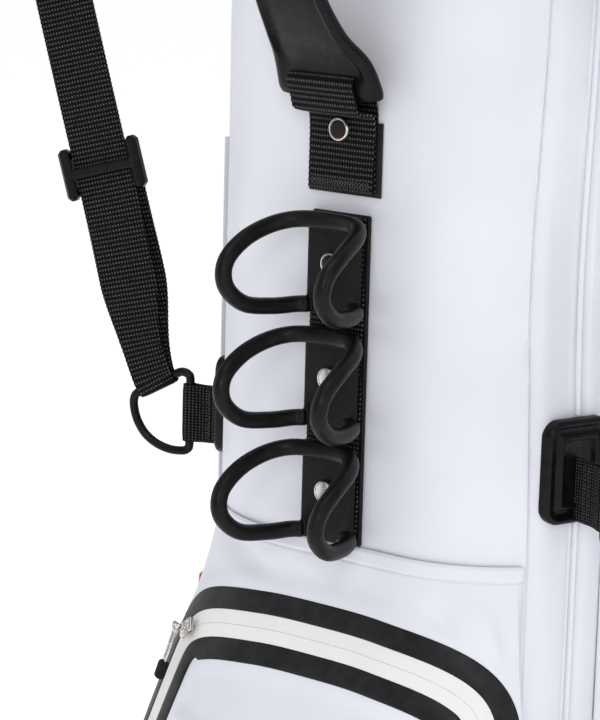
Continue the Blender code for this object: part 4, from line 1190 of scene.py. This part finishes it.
def make_strap_plate(sign, side):
    """The moulded plate: a rolled rim, a trough and a raised frame round the sewn-in webbing."""
    profile = [(0.0, None), (0.0, 0.0040), (0.0007, 0.0056), (0.0020, 0.0064), (0.0033, 0.0062)]
    profile += [(0.0042, 0.0050), (0.0052, 0.0040), (0.0078, 0.0038), (0.0086, 0.0048), (0.0096, 0.0060)]
    profile += [(0.0108, 0.0063), (0.0118, 0.0058), (0.0126, 0.0042), (0.0140, 0.0038)]
    rings = []
    for inset, height in profile:
        ring = []
        for turn, up in rounded_ring(0.0225 - inset, 0.0305 - inset, max(0.0095 - inset, 0.0018)):
            out = GAP - body_sag(turn) if height is None else height - 0.35 * body_sag(turn)
            ring.append(strap_place(sign, out, PLATE_MIDDLE + up, turn))
        rings.append(ring)
    name = f"strap_plate_{side}"
    add_piece(f"{name}_moulded", tube_mesh(rings), "gloss_plastic", "bag", [name], 60)


def make_strap_tab(sign, side):
    """The doubled webbing that leaves the plate and holds the ring's straight bar."""
    bend = RING_WIRE + GAP + STRAP_WEBBING / 2 + 0.0002
    leg = [(0.0045, 0.0010), (PLATE_FACE + 2 * GAP, 0.0011), (0.0160, 0.0012)]
    leg += [(0.0210, 0.0014), (0.0255, 0.0027)]
    loop = list(leg)
    for step in range(9):
        angle = math.radians(100 - step * 200 / 8)
        loop.append((STRAP_AXIS + bend * math.cos(angle), bend * math.sin(angle)))
    loop += [(out, -turn) for out, turn in reversed(leg)]
    points = curve_through([strap_place(sign, out, RING_MIDDLE, turn) for out, turn in loop], 3)
    up = Vector((0, 0, 1))
    mesh = webbing_mesh(points, lambda *_: up, lambda *_: 0.0365, STRAP_WEBBING, 0.0022, 0.0018, 0.0001)
    add_piece(f"strap_tab_{side}_webbing", mesh, "black_webbing", "bag", [f"strap_tab_{side}"])
    starts, ends = [], []
    for face in (-1, 1):
        for out in (0.0125, 0.0165):
            turn = face * (0.0012 + STRAP_WEBBING / 2 + 0.0002)
            low = strap_place(sign, out, RING_MIDDLE - 0.016, turn)
            high = strap_place(sign, out, RING_MIDDLE + 0.016, turn)
            more = zigzag(low, high, strap_axes(sign) @ Vector((0.0022, 0, 0)), 0.0014)
            starts += more[0]
            ends += more[1]
    add_piece(f"strap_tab_{side}_stitching", stitch_mesh(starts, ends, 0.00024), "thread")


def make_ring(sign, side, body):
    corners = [(0.0300, 0.4570), (0.0300, 0.4770), (0.0300, 0.4975), (0.0315, 0.5015), (0.0355, 0.5027)]
    corners += [(0.0400, 0.5010), (0.0525, 0.4940), (0.0650, 0.4870), (0.0682, 0.4825), (0.0680, 0.4760)]
    corners += [(0.0655, 0.4680), (0.0600, 0.4600), (0.0520, 0.4545), (0.0430, 0.4518), (0.0350, 0.4518)]
    corners += [(0.0315, 0.4532)]
    points = curve_through([strap_place(sign, out, z) for out, z in corners], 6, cyclic=True)
    mesh = tube_mesh(round_rod(points, RING_WIRE, 20, cyclic=True), cyclic=True)
    add_piece(f"strap_ring_{side}_moulded", mesh, "gloss_plastic", body, [f"strap_ring_{side}"], 60)


def make_strap_webbing(sign, side, body):
    """Webbing from the pad down through the adjuster, round the ring and back up behind."""
    fold_out = 0.0040
    inner = Vector((0.0525 - 0.489 * fold_out, 0.4940 - 0.872 * fold_out))
    places = [(0.1238, 0.7500, 0.0), (0.1205, 0.7370, 0.0), (0.1190, 0.7310, 0.0), (0.1075, 0.6888, 0.0010)]
    places += [(0.0910, 0.6280, 0.0015), (0.0830, 0.5985, 0.0020), (0.0730, 0.5600, 0.0032)]
    places += [(0.0635, 0.5220, 0.0042)]
    places += [(0.0560, 0.5008, fold_out), (0.0525, 0.4940, fold_out), (0.0508, 0.4912, 0.70 * fold_out)]
    places += [(inner.x, inner.y, 0.0), (0.0508, 0.4912, -0.70 * fold_out), (0.0525, 0.4940, -fold_out)]
    places += [(0.0560, 0.5008, -fold_out), (0.0610, 0.5220, -0.0052), (0.0695, 0.5600, -0.0062)]
    places += [(0.0800, 0.5985, -0.0062), (0.0880, 0.6280, -0.0062), (0.0910, 0.6400, -0.0062)]
    points = curve_through([strap_place(sign, *place) for place in places], 5)
    steep = strap_axes(sign) @ Vector((0.965, 0, -0.262))
    slant = strap_axes(sign) @ Vector((0.872, 0, -0.489))

    def across(_, point):
        toward_ring = ease((0.56 - point.z) / 0.05)
        return (steep * (1 - toward_ring) + slant * toward_ring).normalized()

    def width(_, point):
        return STRAP_WIDTH + (0.026 - STRAP_WIDTH) * ease((0.56 - point.z) / 0.05)

    mesh = webbing_mesh(points, across, width, STRAP_WEBBING)
    add_piece(f"strap_web_{side}", mesh, "black_webbing", body, [f"strap_webbing_{side}"])


def make_pad(sign, side, body):
    """The padded strap: a crowned cushion with two sewn channels and a bound edge."""
    places = [(0.1212, 0.7400), (0.1285, 0.7680), (0.1345, 0.7960), (0.1330, 0.8280), (0.1200, 0.8530)]
    places += [(0.0980, 0.8660), (0.0760, 0.8620), (0.0610, 0.8430), (0.0545, 0.8200)]
    path = evenly(curve_through(places, 8), 0.0024)
    count = len(path)
    rings, edges = [], ([], [])
    columns = 25
    for index, (out, z) in enumerate(path):
        share = index / (count - 1)
        ahead = path[min(index + 1, count - 1)] - path[max(index - 1, 0)]
        tangent = (strap_axes(sign) @ Vector((ahead.x, 0, ahead.y))).normalized()
        toward = strap_axes(sign) @ Vector((0, 1, 0))
        flat = tangent.cross(toward) * -sign
        turn = math.radians(88) * ease(share / 0.62)
        across = flat * math.cos(turn) + toward * math.sin(turn)
        normal = tangent.cross(across)
        swell = ease(share / 0.12) * ease((1 - share) / 0.16)
        half = (STRAP_WIDTH + 0.034 * swell) / 2
        thick = (0.0034 + 0.0066 * swell) / 2
        ring = []
        middle = strap_place(sign, out, z)
        for face in (1, -1):
            for column in range(columns):
                place = face * (2 * column / (columns - 1) - 1)
                crown = 0.42 + 0.58 * (1 - abs(place) ** 3.2) ** 0.8
                channel = 1 - 0.34 * swell * bell(abs(place), 0.46, 0.10) * ease((share - 0.10) / 0.04)
                ring.append(middle + across * half * place + normal * face * thick * crown * channel)
        rings.append(ring)
        for edge, line in zip((1, -1), edges):
            line.append(middle + across * half * edge)
    name = f"shoulder_pad_{side}"
    pad = add_piece(f"{name}_cushion", tube_mesh(rings), "black_pad", body, [name], 70)
    bindings = [tube_mesh(round_rod(line, 0.0024, 12)) for line in edges]
    add_piece(f"{name}_binding", joined(bindings), "thread", body, angle=70)


def make_straps():
    for side, sign in (("left", -1), ("right", 1)):
        body = f"strap_{side}"
        make_strap_plate(sign, side)
        make_strap_tab(sign, side)
        make_ring(sign, side, body)
        make_strap_webbing(sign, side, body)
        moulded(f"strap_adjuster_{side}", "gloss_plastic", f"adjuster_{side}", 0.0004, 4)
        make_pad(sign, side, body)
        moulded(f"strap_swivel_{side}", "black_plastic", body, 0.0005, 4)
        moulded(f"strap_bracket_{side}", "black_plastic", "bag", 0.0005, 4)
        low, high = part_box(f"strap_pin_{side}")
        centre = (low + high) / 2
        radius, half = (high.x - low.x) / 2, (high.z - low.z) / 2
        profile = [(0, half), (radius * 0.7, half), (radius, half - 0.0004), (radius, 0.0004 - half)]
        profile += [(radius * 0.7, -half), (0, -half)]
        mesh = lathe_mesh(profile, centre, Vector((0, 0, 1)), 32)
        add_piece(f"strap_pin_{side}_turned", mesh, "nickel", "bag", [f"strap_pin_{side}"])


def make_side_loop():
    """A short webbing loop on the left side, sewn at its lower end into a folded bright tab."""
    normal = outline(LOOP_U)[1]
    across = Vector((0, 0, 1)).cross(normal)
    strap = [(0.0014, 0.4400), (0.0025, 0.4250), (0.0050, 0.4100), (0.0078, 0.3980), (0.0105, 0.3850)]
    strap += [(0.0118, 0.3760), (0.0122, 0.3680)]
    points = curve_through([on_body(LOOP_U, lift, z) for lift, z in strap], 6)
    mesh = webbing_mesh(points, lambda *_: across, lambda *_: 0.010, 0.0014, 0.0020, 0.0014, 0.00012)
    add_piece("side_loop_web", mesh, "black_webbing", "bag", ["side_loop"])
    tab = [(0.0014, 0.4000), (0.0030, 0.3920), (0.0062, 0.3840), (0.0080, 0.3740), (0.0085, 0.3640)]
    tab += [(0.0100, 0.3602), (0.0125, 0.3588), (0.0150, 0.3602), (0.0165, 0.3640), (0.0160, 0.3770)]
    points = curve_through([on_body(LOOP_U, lift, z) for lift, z in tab], 6)
    mesh = webbing_mesh(points, lambda *_: across, lambda *_: 0.012, 0.0014, 0.0020, 0.0014, 0.00012)
    add_piece("side_loop_tab_web", mesh, "orange_webbing", "bag", ["side_loop_tab"])


# The studio.


def make_camera():
    """The camera at the viewing angle, close enough to show the middle of the bag's height."""
    azimuth, elevation, roll = math.radians(38), math.radians(12), math.radians(1.5)
    distance = 1.70
    target = Vector((-0.0788, -0.0616, 0.52))
    level = Vector((math.sin(azimuth), -math.cos(azimuth), 0))
    back = level * math.cos(elevation) + Vector((0, 0, math.sin(elevation)))
    right = Vector((math.cos(azimuth), math.sin(azimuth), 0))
    up = back.cross(right)
    rolled = right * math.cos(roll) + up * math.sin(roll)
    upright = up * math.cos(roll) - right * math.sin(roll)
    data = bpy.data.cameras.new("camera")
    data.lens = 138.2
    data.sensor_width = 36
    data.clip_end = 100
    camera = bpy.data.objects.new("camera", data)
    axes = Matrix((rolled, upright, back)).transposed().to_4x4()
    camera.matrix_world = Matrix.Translation(target + back * distance) @ axes
    bpy.context.scene.collection.objects.link(camera)
    bpy.context.scene.camera = camera


def make_floor():
    mesh = bpy.data.meshes.new("floor")
    reach = 30.0
    corners = [(-reach, -reach, 0), (reach, -reach, 0), (reach, reach, 0), (-reach, reach, 0)]
    mesh.from_pydata(corners, [], [(0, 1, 2, 3)])
    floor = bpy.data.objects.new("floor", mesh)
    bpy.context.scene.collection.objects.link(floor)
    made, _, shader = new_material("floor", (0.9, 0.9, 0.9), 0.9, specular=0.1)
    shader.inputs["Emission Color"].default_value = (1, 1, 1, 1)
    shader.inputs["Emission Strength"].default_value = 0.55
    mesh.materials.append(made)


def add_light(name, place, aim, size, power, colour=(1, 1, 1)):
    data = bpy.data.lights.new(name, "AREA")
    data.shape = "RECTANGLE"
    data.size, data.size_y = size
    data.energy = power
    data.color = colour
    light = bpy.data.objects.new(name, data)
    light.location = place
    light.rotation_euler = (Vector(place) - Vector(aim)).to_track_quat("Z", "Y").to_euler()
    bpy.context.scene.collection.objects.link(light)


def make_studio():
    world = bpy.data.worlds.new("studio")
    bpy.context.scene.world = world
    world.use_nodes = True
    background = world.node_tree.nodes["Background"]
    background.inputs["Color"].default_value = (0.93, 0.95, 1.0, 1.0)
    background.inputs["Strength"].default_value = 0.52
    aim = (0, 0, 0.5)
    add_light("key", (1.45, -2.4, 1.8), aim, (0.9, 1.3), 21)
    add_light("right", (2.9, -0.5, 1.2), aim, (1.2, 1.8), 11)
    add_light("left", (-2.6, -1.3, 1.2), aim, (1.2, 1.8), 8.5)
    add_light("top", (0.2, -0.6, 2.9), aim, (1.2, 1.2), 12)
    make_floor()
    make_camera()
    bpy.context.scene.view_settings.view_transform = "Standard"


make_body_skin()
make_pipings()
make_front_pocket()
make_side_pockets()
make_back_pocket()
make_front_zip()
make_straight_zips()
make_sliders()
make_base()
make_collar()
make_dividers()
make_handle()
make_handle_tab()
make_rivet("handle_rivet", 0.0053, HANDLE_RIVET_Z, "dark_bronze")
make_hooks()
make_straps()
make_side_loop()
make_studio()
